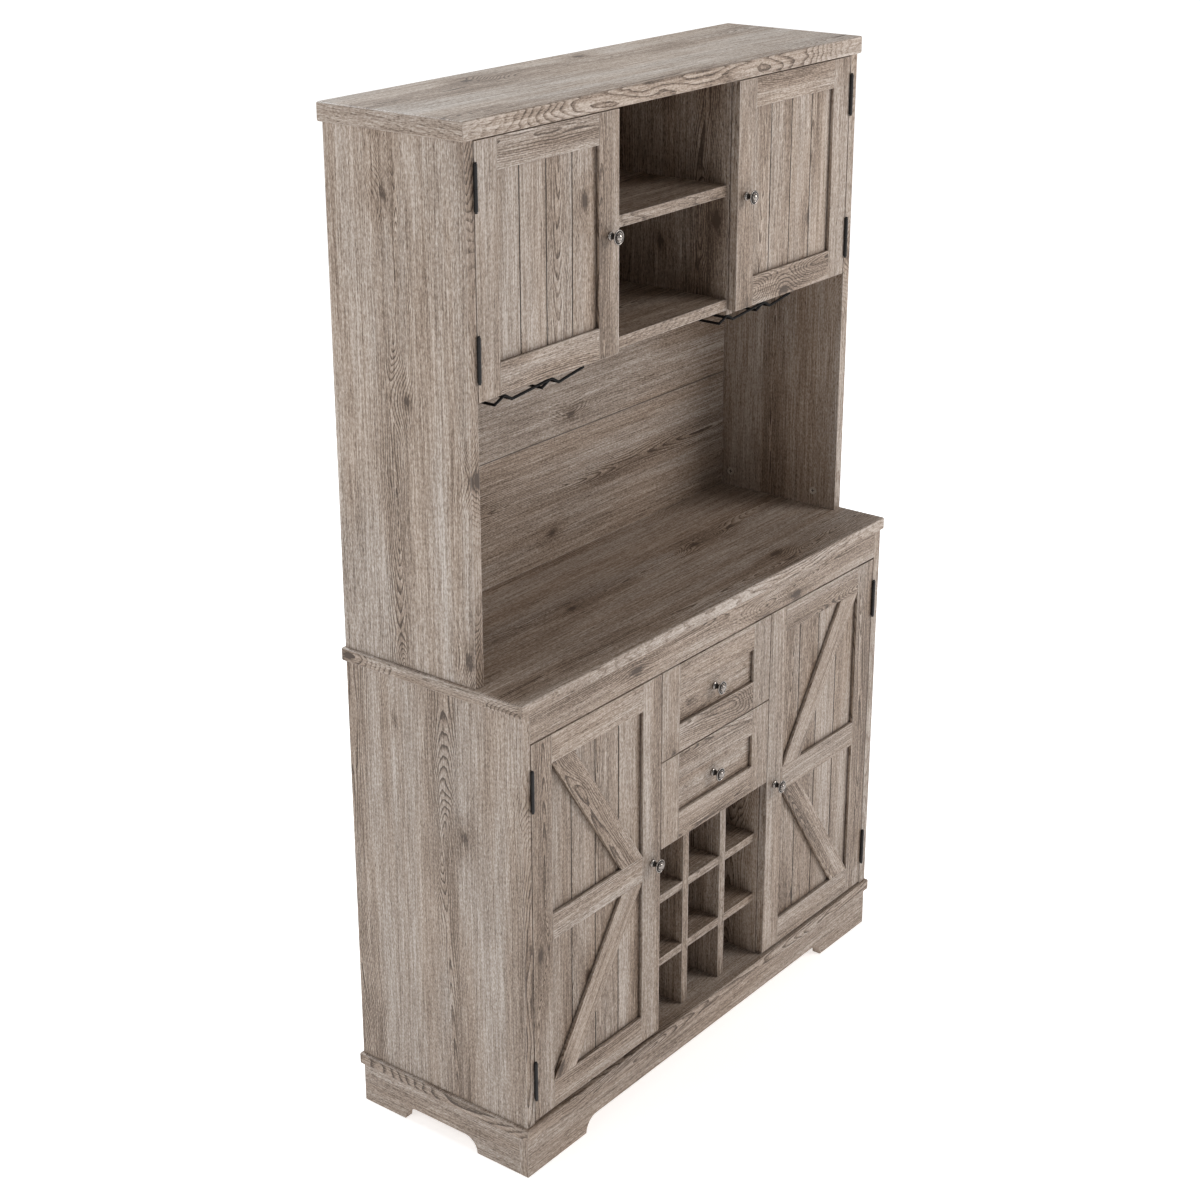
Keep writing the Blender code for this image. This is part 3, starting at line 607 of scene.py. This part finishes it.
# Slabs whose arrises are rounded in the CAD already, and backs that keep their node
EASED_SLABS = ("floor_slab", "countertop", "top_slab")
BACK_BOARDS = ("base_back", "hutch_back_lower")


def dress_node(name, material, arris=None):
    """Give a CAD board its material and fine arrises."""
    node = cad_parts[name]
    node.data.materials.clear()
    node.data.materials.append(material)
    weld = node.modifiers.new("Weld", "WELD")
    weld.merge_threshold = MERGED
    if arris:
        bevel_edges(node, arris)
    normals = node.modifiers.new("Normals", "WEIGHTED_NORMAL")
    normals.keep_sharp = False


def node_middle(name):
    """Centre and half sizes of a CAD node."""
    low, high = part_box(name)
    return (low + high) / 2, (high - low) / 2


class CABINET_OT_boards(bpy.types.Operator):
    """Finish the carcass boards, shelves, slabs and backs"""

    bl_idname = "cabinet.boards"
    bl_label = "Carcass boards"

    def execute(self, context):
        shop = workshop()
        for board, along, through, figure in KEPT_BOARDS:
            names = [board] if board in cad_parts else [f"{board}_{word}" for word, _ in SIDES]
            for name in names:
                material = shop.oak.material(name, *node_middle(name), along, through, figure)
                dress_node(name, material, None if name in EASED_SLABS else shop.sizes.arris)
        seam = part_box("hutch_back_upper")[0].z
        for name in BACK_BOARDS:
            material = shop.oak.material(name, *node_middle(name), RIGHT, BACKWARD, 0.9, seam=seam,
                                         back=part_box(name)[1].y - HAIR)
            dress_node(name, material, shop.sizes.back_arris)
        self.upper_back(shop)
        return {"FINISHED"}

    def upper_back(self, shop):
        """The hutch's upper back: a level board above the niche and an upright one behind the cupboards."""
        low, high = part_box("hutch_back_upper")
        seam = sum(corner.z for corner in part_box("hutch_lower_shelf")) / 2
        for name, start, end, along in (("hutch_back_middle_board", low.z, seam, RIGHT),
                                        ("hutch_back_top_board", seam, high.z, UP)):
            start, end = Vector((low.x, low.y, start)), Vector((high.x, high.y, end))
            material = shop.oak.material(name, (start + end) / 2, (end - start) / 2, along, BACKWARD, 0.9,
                                         seam=low.z, back=high.y - HAIR)
            piece = mesh_object(name, box_mesh(start, end), [material], "cabinet",
                                ("hutch_back_upper",))
            bevelled(piece, shop.sizes.back_arris)


def arch(low, high, foot, rise, top, steps=12):
    """Outline of a plinth board from its low to its high end, with a low arch between its two feet."""
    turns = [step / steps * math.pi / 2 for step in range(steps + 1)]
    curve = [(foot + rise * (1 - math.cos(turn)), rise * math.sin(turn)) for turn in turns]
    points = [(low, 0)]
    points += [(low + run, height) for run, height in curve]
    points += [(high - run, height) for run, height in reversed(curve)]
    return points + [(high, 0), (high, top), (low, top)]


class CABINET_OT_plinth(bpy.types.Operator):
    """Build the plinth's four boards with their arches"""

    bl_idname = "cabinet.plinth"
    bl_label = "Plinth"

    def execute(self, context):
        shop = workshop()
        sizes = shop.sizes
        low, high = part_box("plinth_frame")
        thick = sizes.plinth_board
        inner_front = low.y + thick
        outline = arch(low.x, high.x, sizes.front_foot, sizes.arch_height, high.z)
        shop.board("plinth_front_board", low, (high.x, inner_front, high.z), RIGHT, BACKWARD, "cabinet",
                   ("plinth_frame",), bm=slab_mesh(outline, "Y", low.y, inner_front))
        outline = arch(inner_front, high.y, sizes.side_foot, sizes.arch_height, high.z)
        for word, start, end in (("left", low.x, low.x + thick), ("right", high.x - thick, high.x)):
            shop.board(f"plinth_{word}_board", (start, inner_front, 0), (end, high.y, high.z), BACKWARD,
                       RIGHT, "cabinet", ("plinth_frame",), bm=slab_mesh(outline, "X", start, end))
        shop.board("plinth_back_rail", (low.x + thick, high.y - thick, sizes.arch_height),
                   (high.x - thick, high.y, high.z), RIGHT, BACKWARD, "cabinet", ("plinth_frame",))
        return {"FINISHED"}


def slotted(start, end, closed, opened, bottom, slots, width):
    """Outline of a board along one axis, with slots cut from its opened edge down to a bottom."""
    points = [(start, closed), (start, opened)]
    for slot in slots:
        low, high = slot - HAIR, slot + width + HAIR
        points += [(low, opened), (low, bottom), (high, bottom), (high, opened)]
    return points + [(end, opened), (end, closed)]


class CABINET_OT_wine_rack(bpy.types.Operator):
    """Build the wine rack's uprights and shelves, halved into one another"""

    bl_idname = "cabinet.wine_rack"
    bl_label = "Wine rack"

    def execute(self, context):
        shop = workshop()
        low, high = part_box("wine_rack")
        shelf, upright, count = shop.sizes.rack_shelf, shop.sizes.rack_upright, 3
        column = (high.x - low.x + 2 * FIT - (count - 1) * upright) / count
        row = (high.z - low.z + 2 * FIT - (count - 1) * shelf) / count
        middle = (low.y + high.y) / 2
        lefts = [low.x - FIT + number * column + (number - 1) * upright for number in range(1, count)]
        bottoms = [low.z - FIT + number * row + (number - 1) * shelf for number in range(1, count)]
        outline = [(y, z) for z, y in slotted(low.z, high.z, low.y, high.y, middle, bottoms, shelf)]
        for number, left in enumerate(lefts, 1):
            shop.board(f"rack_upright_{number}", (left, low.y, low.z), (left + upright, high.y, high.z),
                       UP, RIGHT, "cabinet", ("wine_rack",), 0.7,
                       bm=slab_mesh(outline, "X", left, left + upright))
        outline = slotted(low.x, high.x, high.y, low.y + 2 * FIT, middle - HAIR, lefts, upright)
        for number, bottom in enumerate(bottoms, 1):
            shop.board(f"rack_shelf_{number}", (low.x, low.y, bottom), (high.x, high.y, bottom + shelf),
                       RIGHT, UP, "cabinet", ("wine_rack",), 0.8,
                       bm=slab_mesh(outline, "Z", bottom, bottom + shelf))
        return {"FINISHED"}


def stile_mesh(low, high, inner, front, back, rebate):
    """Stile between two widths, with the rebate for the panel on its inner side."""
    outer = low[0] if inner == high[0] else high[0]
    step = math.copysign(rebate[0], outer - inner)
    outline = [(outer, front), (inner, front), (inner, rebate[1]), (inner + step, rebate[1]),
               (inner + step, back), (outer, back)]
    return slab_mesh(outline, "Z", low[1], high[1])


def rail_mesh(low, high, inner, front, back, rebate):
    """Rail between two heights: its front half stops at the stiles, its rear half laps their rebates."""
    outer = low[1] if inner == high[1] else high[1]
    lap, shoulder = rebate
    step = math.copysign(lap, outer - inner)
    bm = bmesh.new()

    def corner(x, y):
        """Corner of the rail's section at the top of the panel's rebate."""
        return bm.verts.new((x, y, inner + step))

    left, right = corner(low[0], shoulder), corner(high[0], shoulder)
    lip = bm.faces.new([corner(low[0], front), corner(high[0], front), right, left])
    rear = bm.faces.new([corner(low[0] - lap, shoulder), left, right, corner(high[0] + lap, shoulder),
                         corner(high[0] + lap, back), corner(low[0] - lap, back)])
    sweep(bm, [lip, rear], (0, 0, outer - inner - step))
    sweep(bm, [lip], (0, 0, -step))
    return bm


def frame_members(shop, body, node, barn=False):
    """Stiles, rails and, on a barn door, braces of a moving body's front, in place of its joined node."""
    sizes = shop.sizes
    low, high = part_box(node)
    front, back = low.y, high.y
    inner_low, inner_high = low.x + sizes.stile, high.x - sizes.stile
    low_z, high_z = low.z + sizes.bottom_rail, high.z - sizes.top_rail
    window = (inner_low, inner_high), (low_z, high_z), front
    overlay = front + sizes.panel_recess - FIT
    rebate = (sizes.panel_recess, overlay)

    def member(word, start, end, along, bm=None, depth=back):
        """One board of the frame."""
        shop.board(f"{body}_{word}", (start[0], front, start[1]), (end[0], depth, end[1]), along, BACKWARD,
                   body, (node,), 0.85, bm, window, sizes.member_arris)

    for word, start, end, inner in (("left_stile", (low.x, low.z), (inner_low, high.z), inner_low),
                                    ("right_stile", (inner_high, low.z), (high.x, high.z), inner_high)):
        member(word, start, end, UP, stile_mesh(start, end, inner, front, back, rebate))
    for word, start, end, inner in (("top_rail", (inner_low, high_z), (inner_high, high.z), high_z),
                                    ("bottom_rail", (inner_low, low.z), (inner_high, low_z), low_z)):
        member(word, start, end, RIGHT, rail_mesh(start, end, inner, front, back, rebate))
    if not barn:
        return
    middle = (low.z + high.z) / 2
    rail_low, rail_high = middle - sizes.middle_rail / 2, middle + sizes.middle_rail / 2
    member("middle_rail", (inner_low, rail_low), (inner_high, rail_high), RIGHT, depth=overlay)
    hinge_x, latch_x = (inner_low, inner_high) if "left" in body else (inner_high, inner_low)
    run = math.copysign(sizes.brace_run, latch_x - hinge_x)
    for word, corner, rail in (("upper_brace", high_z, rail_high), ("lower_brace", low_z, rail_low)):
        outline = [(hinge_x, corner), (hinge_x + run, corner), (latch_x, rail), (latch_x - run, rail)]
        along = Vector((latch_x - run - hinge_x, 0, rail - corner)).normalized()
        member(word, (min(hinge_x, latch_x), min(corner, rail)), (max(hinge_x, latch_x), max(corner, rail)),
               along, slab_mesh(outline, "Y", front, overlay), overlay)


class CABINET_OT_doors(bpy.types.Operator):
    """Build the four doors' stiles, rails and braces and finish their plank panels"""

    bl_idname = "cabinet.doors"
    bl_label = "Doors"

    def execute(self, context):
        shop = workshop()
        for word, _ in SIDES:
            for unit in UNITS:
                door = f"{unit}_{word}_door"
                frame_members(shop, door, f"{door}_frame", barn=unit == "base")
                panel = f"{door}_panel"
                plank = (shop.sizes.plank_pitch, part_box(panel)[0].y + HAIR / 2)
                dress_node(panel, shop.oak.material(panel, *node_middle(panel), UP, BACKWARD, 0.9, plank))
        return {"FINISHED"}


class CABINET_OT_drawers(bpy.types.Operator):
    """Build the drawer fronts' members and recessed fields and finish the boxes"""

    bl_idname = "cabinet.drawers"
    bl_label = "Drawers"

    def execute(self, context):
        shop = workshop()
        sizes = shop.sizes
        for drawer in DRAWERS:
            front = f"{drawer}_front"
            frame_members(shop, drawer, front)
            low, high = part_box(front)
            lap = sizes.panel_recess - FIT
            start = (low.x + sizes.stile - lap, low.y + sizes.panel_recess, low.z + sizes.bottom_rail - lap)
            end = (high.x - sizes.stile + lap, high.y - HAIR, high.z - sizes.top_rail + lap)
            shop.board(f"{drawer}_field", start, end, RIGHT, BACKWARD, drawer, (front,))
            box = f"{drawer}_box"
            dress_node(box, shop.oak.material(box, *node_middle(box), RIGHT, UP, 0.5), sizes.arris)
        return {"FINISHED"}


def eased_corner(before, here, after, reach, steps):
    """Points of a small curve in place of a corner."""
    back, ahead = before - here, after - here
    cut = min(reach, back.length * 0.45, ahead.length * 0.45)
    start, end = here + back.normalized() * cut, here + ahead.normalized() * cut
    return [start.lerp(here, step / steps).lerp(here.lerp(end, step / steps), step / steps)
            for step in range(steps + 1)]


def rounded(profile, radius, steps=3):
    """Profile whose corners are eased by small curves, each with its corner's material."""
    eased = [profile[0]]
    for corner in zip(profile, profile[1:], profile[2:]):
        curve = eased_corner(*(Vector(point[:2]) for point in corner), radius, steps)
        eased += [(*place, *corner[1][2:]) for place in curve]
    return eased + [profile[-1]]


KNOB_BODIES = [f"{unit}_{word}_door" for unit in UNITS for word, _ in SIDES] + [*DRAWERS]

# The radius, foot and steps of a knob's dome, then radius and height along its rings, head, waist and foot,
# where 1 marks the dark nickel, both patina and painted shade, in the groove, under the head and on the waist
DOME_RADIUS = 0.0064
DOME_FOOT = 0.0190
DOME_STEPS = 8
KNOB_PROFILE = (
    (0.0066, 0.0183, 1), (0.0074, 0.0181), (0.0078, 0.0186), (0.0089, 0.0188, 1), (0.0094, 0.0177, 1),
    (0.0106, 0.0177, 1), (0.0110, 0.0183), (0.0120, 0.0186), (0.01275, 0.0176), (0.0125, 0.0163, 1),
    (0.0096, 0.0150, 1), (0.0062, 0.0136, 1), (0.0044, 0.0112, 1), (0.0040, 0.0084, 1), (0.0046, 0.0060, 1),
    (0.0056, 0.0044), (0.0058, 0.0036), (0.0072, 0.0028), (0.0075, 0.0012), (0.0075, 0), (0, 0),
)


class CABINET_OT_knobs(bpy.types.Operator):
    """Turn the six stepped knobs"""

    bl_idname = "cabinet.knobs"
    bl_label = "Knobs"

    def execute(self, context):
        shop = workshop()
        for body in KNOB_BODIES:
            node = f"{body}_knob"
            low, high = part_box(node)
            seat = Vector(((low.x + high.x) / 2, high.y, (low.z + high.z) / 2))
            placing = Matrix.Translation(seat) @ Matrix.Rotation(math.pi / 2, 4, "X")
            dome_rise = high.y - low.y - DOME_FOOT
            turns = [step / DOME_STEPS * math.pi / 2 for step in range(DOME_STEPS + 1)]
            dome = [(DOME_RADIUS * math.sin(turn), DOME_FOOT + dome_rise * math.cos(turn)) for turn in turns]
            bm = turned_mesh(rounded([*dome, *KNOB_PROFILE], 0.0005, 2), 48, placing)
            mesh_object(f"{body}_turned_knob", bm, [shop.nickel, shop.patina_and_shade], body,
                        (node,), 50)
        return {"FINISHED"}


def joined(*meshes):
    """Several bmeshes in one."""
    first = meshes[0]
    for other in meshes[1:]:
        scratch = bpy.data.meshes.new("scratch")
        other.to_mesh(scratch)
        other.free()
        first.from_mesh(scratch)
        bpy.data.meshes.remove(scratch)
    return first


# Sizes of a hinge: its barrel, the tips beyond it, its leaves and the heads of their screws
BARREL_RADIUS = 0.0030
TIP_REACH = 0.0030
LEAF_INSET = 0.00015
LEAF_THICKNESS = 0.0008
LEAF_FRONT = 0.0004
LEAF_BACK = 0.0164
SCREW_INSET = 0.0055
SCREW_SHARES = (-0.68, 0.0, 0.68)
SCREW_PROFILE = ((0, 0.00002), (0.0006, 0.00002), (0.0006, 0.00008), (0.0022, 0.00006), (0.0025, -0.0002),
                 (0, -0.0002))

# Radius and height past the barrel's end of the ball tip, outwards from the neck
TIP_PROFILE = ((0.0022, 0.0004), (0.0020, 0.0010), (0.0026, 0.0016))
TIP_END_RADIUS = 0.0018


class CABINET_OT_hinges(bpy.types.Operator):
    """Build the eight butt hinges: leaves, knuckles, pins and screws"""

    bl_idname = "cabinet.hinges"
    bl_label = "Hinges"

    def execute(self, context):
        shop = workshop()
        for word, side in SIDES:
            for unit in UNITS:
                for level in ("lower", "upper"):
                    self.hinge(shop, f"{unit}_{word}_door", level, side)
        return {"FINISHED"}

    def hinge(self, shop, door, level, side):
        """Both halves of one hinge."""
        prefix = f"{door}_{level}_hinge"
        low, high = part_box(f"{prefix}_frame_half")
        axis = Vector(((low.x + high.x) / 2, low.y + BARREL_RADIUS, (low.z + high.z) / 2))
        reach = (high.z - low.z) / 2
        barrel = reach - TIP_REACH
        tip = [(radius, barrel + height) for radius, height in TIP_PROFILE]
        tip += [(TIP_END_RADIUS, reach - HAIR), (0, reach)]
        lower = [(0, -HAIR / 2), (BARREL_RADIUS, -HAIR / 2), (BARREL_RADIUS, -barrel),
                 *((radius, -height) for radius, height in tip)]
        upper = [*reversed(tip), (0, barrel + FIT)]
        knuckle = [(0, barrel), (BARREL_RADIUS, barrel), (BARREL_RADIUS, FIT), (0, FIT)]
        frame_half = (rounded(lower, 0.0004), rounded(upper, 0.0003)), side, "cabinet"
        door_half = (rounded(knuckle, 0.0003),), -side, door
        for word, (profiles, towards, body) in (("frame_half", frame_half), ("door_half", door_half)):
            parts = [turned_mesh(profile, 24, Matrix.Translation(axis)) for profile in profiles]
            parts += self.leaf(axis, towards, barrel)
            mesh_object(f"{prefix}_{word}_leaf", joined(*parts), [shop.iron], body,
                        (f"{prefix}_{word}",), 40)

    def leaf(self, axis, towards, barrel):
        """Plate in the gap beside the door, with screw heads on the side that an open door shows."""
        inner = axis.x + towards * LEAF_INSET
        start, end = sorted((inner, axis.x + towards * (LEAF_INSET + LEAF_THICKNESS)))
        back = axis.y + LEAF_BACK
        meshes = [box_mesh((start, axis.y + LEAF_FRONT, axis.z - barrel), (end, back, axis.z + barrel))]
        turn = Matrix.Rotation(-towards * math.pi / 2, 4, "Y")
        for share in SCREW_SHARES:
            place = Matrix.Translation((inner, back - SCREW_INSET, axis.z + share * barrel))
            meshes.append(turned_mesh(SCREW_PROFILE, 16, place @ turn))
        return meshes


# Sizes of a stemware rack's bends and peaks, and its studs as radius and height below the cupboard, then
# above a peak
WIRE_BEND = 0.004
PEAK_RUN = 0.0245
PEAK_RISE = 0.0105
END_RUN = 0.065
WIRE_INSET = 0.006
STUD_TOP = ((0, 0), (0.006, 0), (0.006, -0.0015), (0.0017, -0.0019))
STUD_FOOT = ((0.0017, -0.0008), (0, -0.0008))


def wire_mesh(name, runs, radius):
    """Bmesh of round wires with eased bends."""
    curve = bpy.data.curves.new(name, "CURVE")
    curve.dimensions = "3D"
    curve.bevel_depth = radius
    curve.bevel_resolution = 4
    curve.use_fill_caps = True
    curve.twist_mode = "Z_UP"
    for run in runs:
        bends = [Vector(point) for point in run]
        points = [bends[0]]
        for corner in zip(bends, bends[1:], bends[2:]):
            points += eased_corner(*corner, WIRE_BEND, 5)
        points.append(bends[-1])
        spline = curve.splines.new("POLY")
        spline.points.add(len(points) - 1)
        for point, place in zip(spline.points, points):
            point.co = (*place, 1)
    made = new_object(name, curve)
    bpy.context.view_layer.update()
    mesh = bpy.data.meshes.new_from_object(made.evaluated_get(bpy.context.evaluated_depsgraph_get()))
    bpy.data.objects.remove(made)
    bm = bmesh.new()
    bm.from_mesh(mesh)
    bpy.data.meshes.remove(mesh)
    bmesh.ops.remove_doubles(bm, verts=bm.verts, dist=MERGED / 2)
    return bm


class CABINET_OT_stem_racks(bpy.types.Operator):
    """Bend the two stemware racks of black wire"""

    bl_idname = "cabinet.stem_racks"
    bl_label = "Stemware racks"

    def execute(self, context):
        shop = workshop()
        wire, slot = shop.sizes.wire, shop.sizes.stem_slot
        for word, _ in SIDES:
            node = f"stemware_rack_{word}"
            low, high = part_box(node)
            front, back = low.y + WIRE_INSET, high.y - WIRE_INSET
            height = low.z + wire
            peak = height + PEAK_RISE
            lefts = [low.x + wire, low.x + wire + shop.sizes.stem_pitch]
            end = lefts[1] + slot + END_RUN
            runs = []
            for y, inward in ((front, 1), (back, -1)):
                zigzag = [(lefts[0], y, height)]
                for left in lefts:
                    zigzag += [(left + PEAK_RUN, y, peak), (left + slot, y, height)]
                runs.append(zigzag + [(end, y, peak)])
                beside = y + inward * wire / 3
                runs.append([(lefts[1], beside, height), (lefts[1] + PEAK_RUN, beside, peak)])
            for left in lefts:
                runs += [[(x, front - wire / 4, height), (x, back + wire / 4, height)]
                         for x in (left, left + slot)]
            parts = [wire_mesh(node, runs, wire)]
            stud = rounded([*((radius, high.z + rise) for radius, rise in STUD_TOP),
                            *((radius, peak + rise) for radius, rise in STUD_FOOT)], 0.0004, 2)
            for y in (front, back):
                for x in (lefts[0] + PEAK_RUN, lefts[1] + PEAK_RUN, end - wire * 2 / 3):
                    parts.append(turned_mesh(stud, 20, Matrix.Translation((x, y, 0))))
            mesh_object(f"stemware_wires_{word}", joined(*parts), [shop.wire], "cabinet",
                        (node,), 50)
        return {"FINISHED"}


# A cam fastener: depths behind the base's front, height above the counter, its disc and the dark bars that
# paint the shade of its cross recess
CAM_DEPTHS = (0.144, 0.339)
CAM_HEIGHT = 0.030
CAM_PROFILE = ((0, 0.0004), (0.0058, 0.0004), (0.0062, 0.0012), (0.0074, 0.0012), (0.0076, -0.0008),
               (0, -0.0008))
RECESS_SHADE_BARS = ((0.0034, 0.0007), (0.0007, 0.0034))
RECESS_SHADE_LOW = 0.0002
RECESS_SHADE_HIGH = 0.00055


class CABINET_OT_fasteners(bpy.types.Operator):
    """Add the cam fasteners low on the inside of the hutch"""

    bl_idname = "cabinet.fasteners"
    bl_label = "Cam fasteners"

    def execute(self, context):
        shop = workshop()
        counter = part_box("countertop")[1].z
        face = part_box("base_side_left")[0].y
        for word, side in SIDES:
            low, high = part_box(f"hutch_side_{word}")
            inner = high.x if side < 0 else low.x
            for number, depth in enumerate(CAM_DEPTHS, 1):
                place = Matrix.Translation((inner, face + depth, counter + CAM_HEIGHT))
                placing = place @ Matrix.Rotation(-side * math.pi / 2, 4, "Y")
                bm = joined(turned_mesh(rounded(CAM_PROFILE, 0.0003, 2), 32, placing), *self.recess(placing))
                mesh_object(f"hutch_{word}_cam_{number}", bm, [shop.zinc, shop.patina_and_shade], "cabinet",
                            (), 40)
        return {"FINISHED"}

    def recess(self, placing):
        """Two dark bars on the disc that paint the shade of the cross recess, which has no hollow."""
        bars = []
        for half_x, half_y in RECESS_SHADE_BARS:
            bm = box_mesh((-half_x, -half_y, RECESS_SHADE_LOW), (half_x, half_y, RECESS_SHADE_HIGH))
            bmesh.ops.transform(bm, matrix=placing, verts=bm.verts)
            for face in bm.faces:
                face.material_index = 1
            bars.append(bm)
        return bars


# The photo's camera, fitted to the edges that it shows
CAMERA_LENS = 66.96
CAMERA_SHIFT = (0.0162, -0.0414)
CAMERA_PLACE = (-3.0003, -2.2347, 2.3681)
CAMERA_TURNS = (1.2076, 0.0040, -0.9052)

# Strength of the white surroundings as a light, and what they gain for the camera and in mirrored rays
AMBIENT = 0.18
SEEN_GAIN = 0.87
MIRRORED_GAIN = 0.34

# Half width of the floor, its drop below the feet and the distances over which its glow turns white
FLOOR_REACH = 14
FLOOR_DROP = 0.0005
GLOW_FADE = (1.4, 3.2)

# Name, place, target, size, power and tint of each lamp
LAMPS = (
    ("key", (2.2, -3.2, 2.8), (0, 0, 1.2), (2.0, 2.0), 86, (1.0, 0.985, 0.97)),
    ("left", (-2.9, 0.2, 2.7), (-0.5, 0, 1.4), (1.8, 1.8), 29, (0.95, 0.98, 1.0)),
    ("rear", (0, 3.2, 3.6), (0, 0, 1.8), (2.4, 2.0), 225, (0.86, 0.94, 1.0)),
)


def lamp(name, place, target, size, power, tint):
    """Soft rectangular light aimed at a point."""
    data = bpy.data.lights.new(name, "AREA")
    data.shape = "RECTANGLE"
    data.size, data.size_y = size
    data.energy = power
    data.color = tint
    light = new_object(name, data)
    light.location = place
    light.rotation_euler = (Vector(target) - Vector(place)).to_track_quat("-Z", "Y").to_euler()


class CABINET_OT_stage(bpy.types.Operator):
    """Set up the camera, the pale floor and the soft studio light"""

    bl_idname = "cabinet.stage"
    bl_label = "Stage"

    def execute(self, context):
        scene = context.scene
        scene.view_settings.view_transform = "Standard"
        data = bpy.data.cameras.new("camera")
        data.sensor_width = 36
        data.lens = CAMERA_LENS
        data.shift_x, data.shift_y = CAMERA_SHIFT
        camera = new_object("camera", data)
        camera.location = CAMERA_PLACE
        camera.rotation_euler = CAMERA_TURNS
        scene.camera = camera
        self.world(scene)
        self.floor()
        for settings in LAMPS:
            lamp(*settings)
        return {"FINISHED"}

    def world(self, scene):
        """White surroundings, dimmer as a light than as a backdrop."""
        world = bpy.data.worlds.new("white studio")
        world.use_nodes = True
        scene.world = world
        tree = Shading(world.node_tree)
        world.node_tree.nodes.clear()
        seen = tree.node("LightPath", {}, {}, "Is Camera Ray")
        mirrored = tree.node("LightPath", {}, {}, "Is Glossy Ray")
        strength = AMBIENT + seen * SEEN_GAIN + mirrored * MIRRORED_GAIN
        background = tree.node("Background", {}, {"Color": WHITE, "Strength": strength})
        tree.node("OutputWorld", {}, {"Surface": background})

    def floor(self):
        """Pale floor just below the feet, brightened so that it reads as white paper."""
        bm = bmesh.new()
        bmesh.ops.create_grid(bm, x_segments=1, y_segments=1, size=FLOOR_REACH)
        bmesh.ops.translate(bm, verts=bm.verts, vec=(0, 0, -FLOOR_DROP))
        material, tree, shader = new_material("pale floor")
        ground = tree.node("TexCoord", {}, {}, "Object")
        distance = tree.node("VectorMath", {"operation": "LENGTH"}, {0: ground}, 1)
        glow = tree.mix(distance.ramp(*GLOW_FADE), (0.67, 0.655, 0.645, 1), WHITE)
        tree.feed(shader, {"Base Color": (0.8, 0.8, 0.8, 1), "Roughness": 0.9, "Specular IOR Level": 0.1,
                           "Emission Color": glow, "Emission Strength": 1.0})
        solid("studio_floor", bm, [material])


OPERATORS = (CABINET_OT_stage, CABINET_OT_boards, CABINET_OT_plinth, CABINET_OT_wine_rack, CABINET_OT_doors,
             CABINET_OT_drawers, CABINET_OT_knobs, CABINET_OT_hinges, CABINET_OT_stem_racks,
             CABINET_OT_fasteners)


class CABINET_PT_panel(bpy.types.Panel):
    """Sizes, finishes and pieces of the cabinet"""

    bl_idname = "CABINET_PT_panel"
    bl_label = "Coffee Bar Cabinet"
    bl_space_type = "VIEW_3D"
    bl_region_type = "UI"
    bl_category = "Cabinet"

    def draw(self, context):
        for settings in (context.scene.cabinet_sizes, context.scene.cabinet_finish):
            box = self.layout.box()
            for name in settings.bl_rna.properties.keys():
                if name not in ("rna_type", "name"):
                    box.prop(settings, name)
        for operator in OPERATORS:
            self.layout.operator(operator.bl_idname)


CLASSES = (CabinetSizes, CabinetFinish, *OPERATORS, CABINET_PT_panel)


def register():
    """Register the classes and the scene's settings."""
    for item in CLASSES:
        bpy.utils.register_class(item)
    bpy.types.Scene.cabinet_sizes = PointerProperty(type=CabinetSizes)
    bpy.types.Scene.cabinet_finish = PointerProperty(type=CabinetFinish)


def unregister():
    """Remove what register added."""
    del bpy.types.Scene.cabinet_finish
    del bpy.types.Scene.cabinet_sizes
    for item in reversed(CLASSES):
        bpy.utils.unregister_class(item)


def main():
    """Dress the whole cabinet."""
    register()
    for operator in OPERATORS:
        group, name = operator.bl_idname.split(".")
        getattr(getattr(bpy.ops, group), name)()


if __name__ == "__main__":
    main()
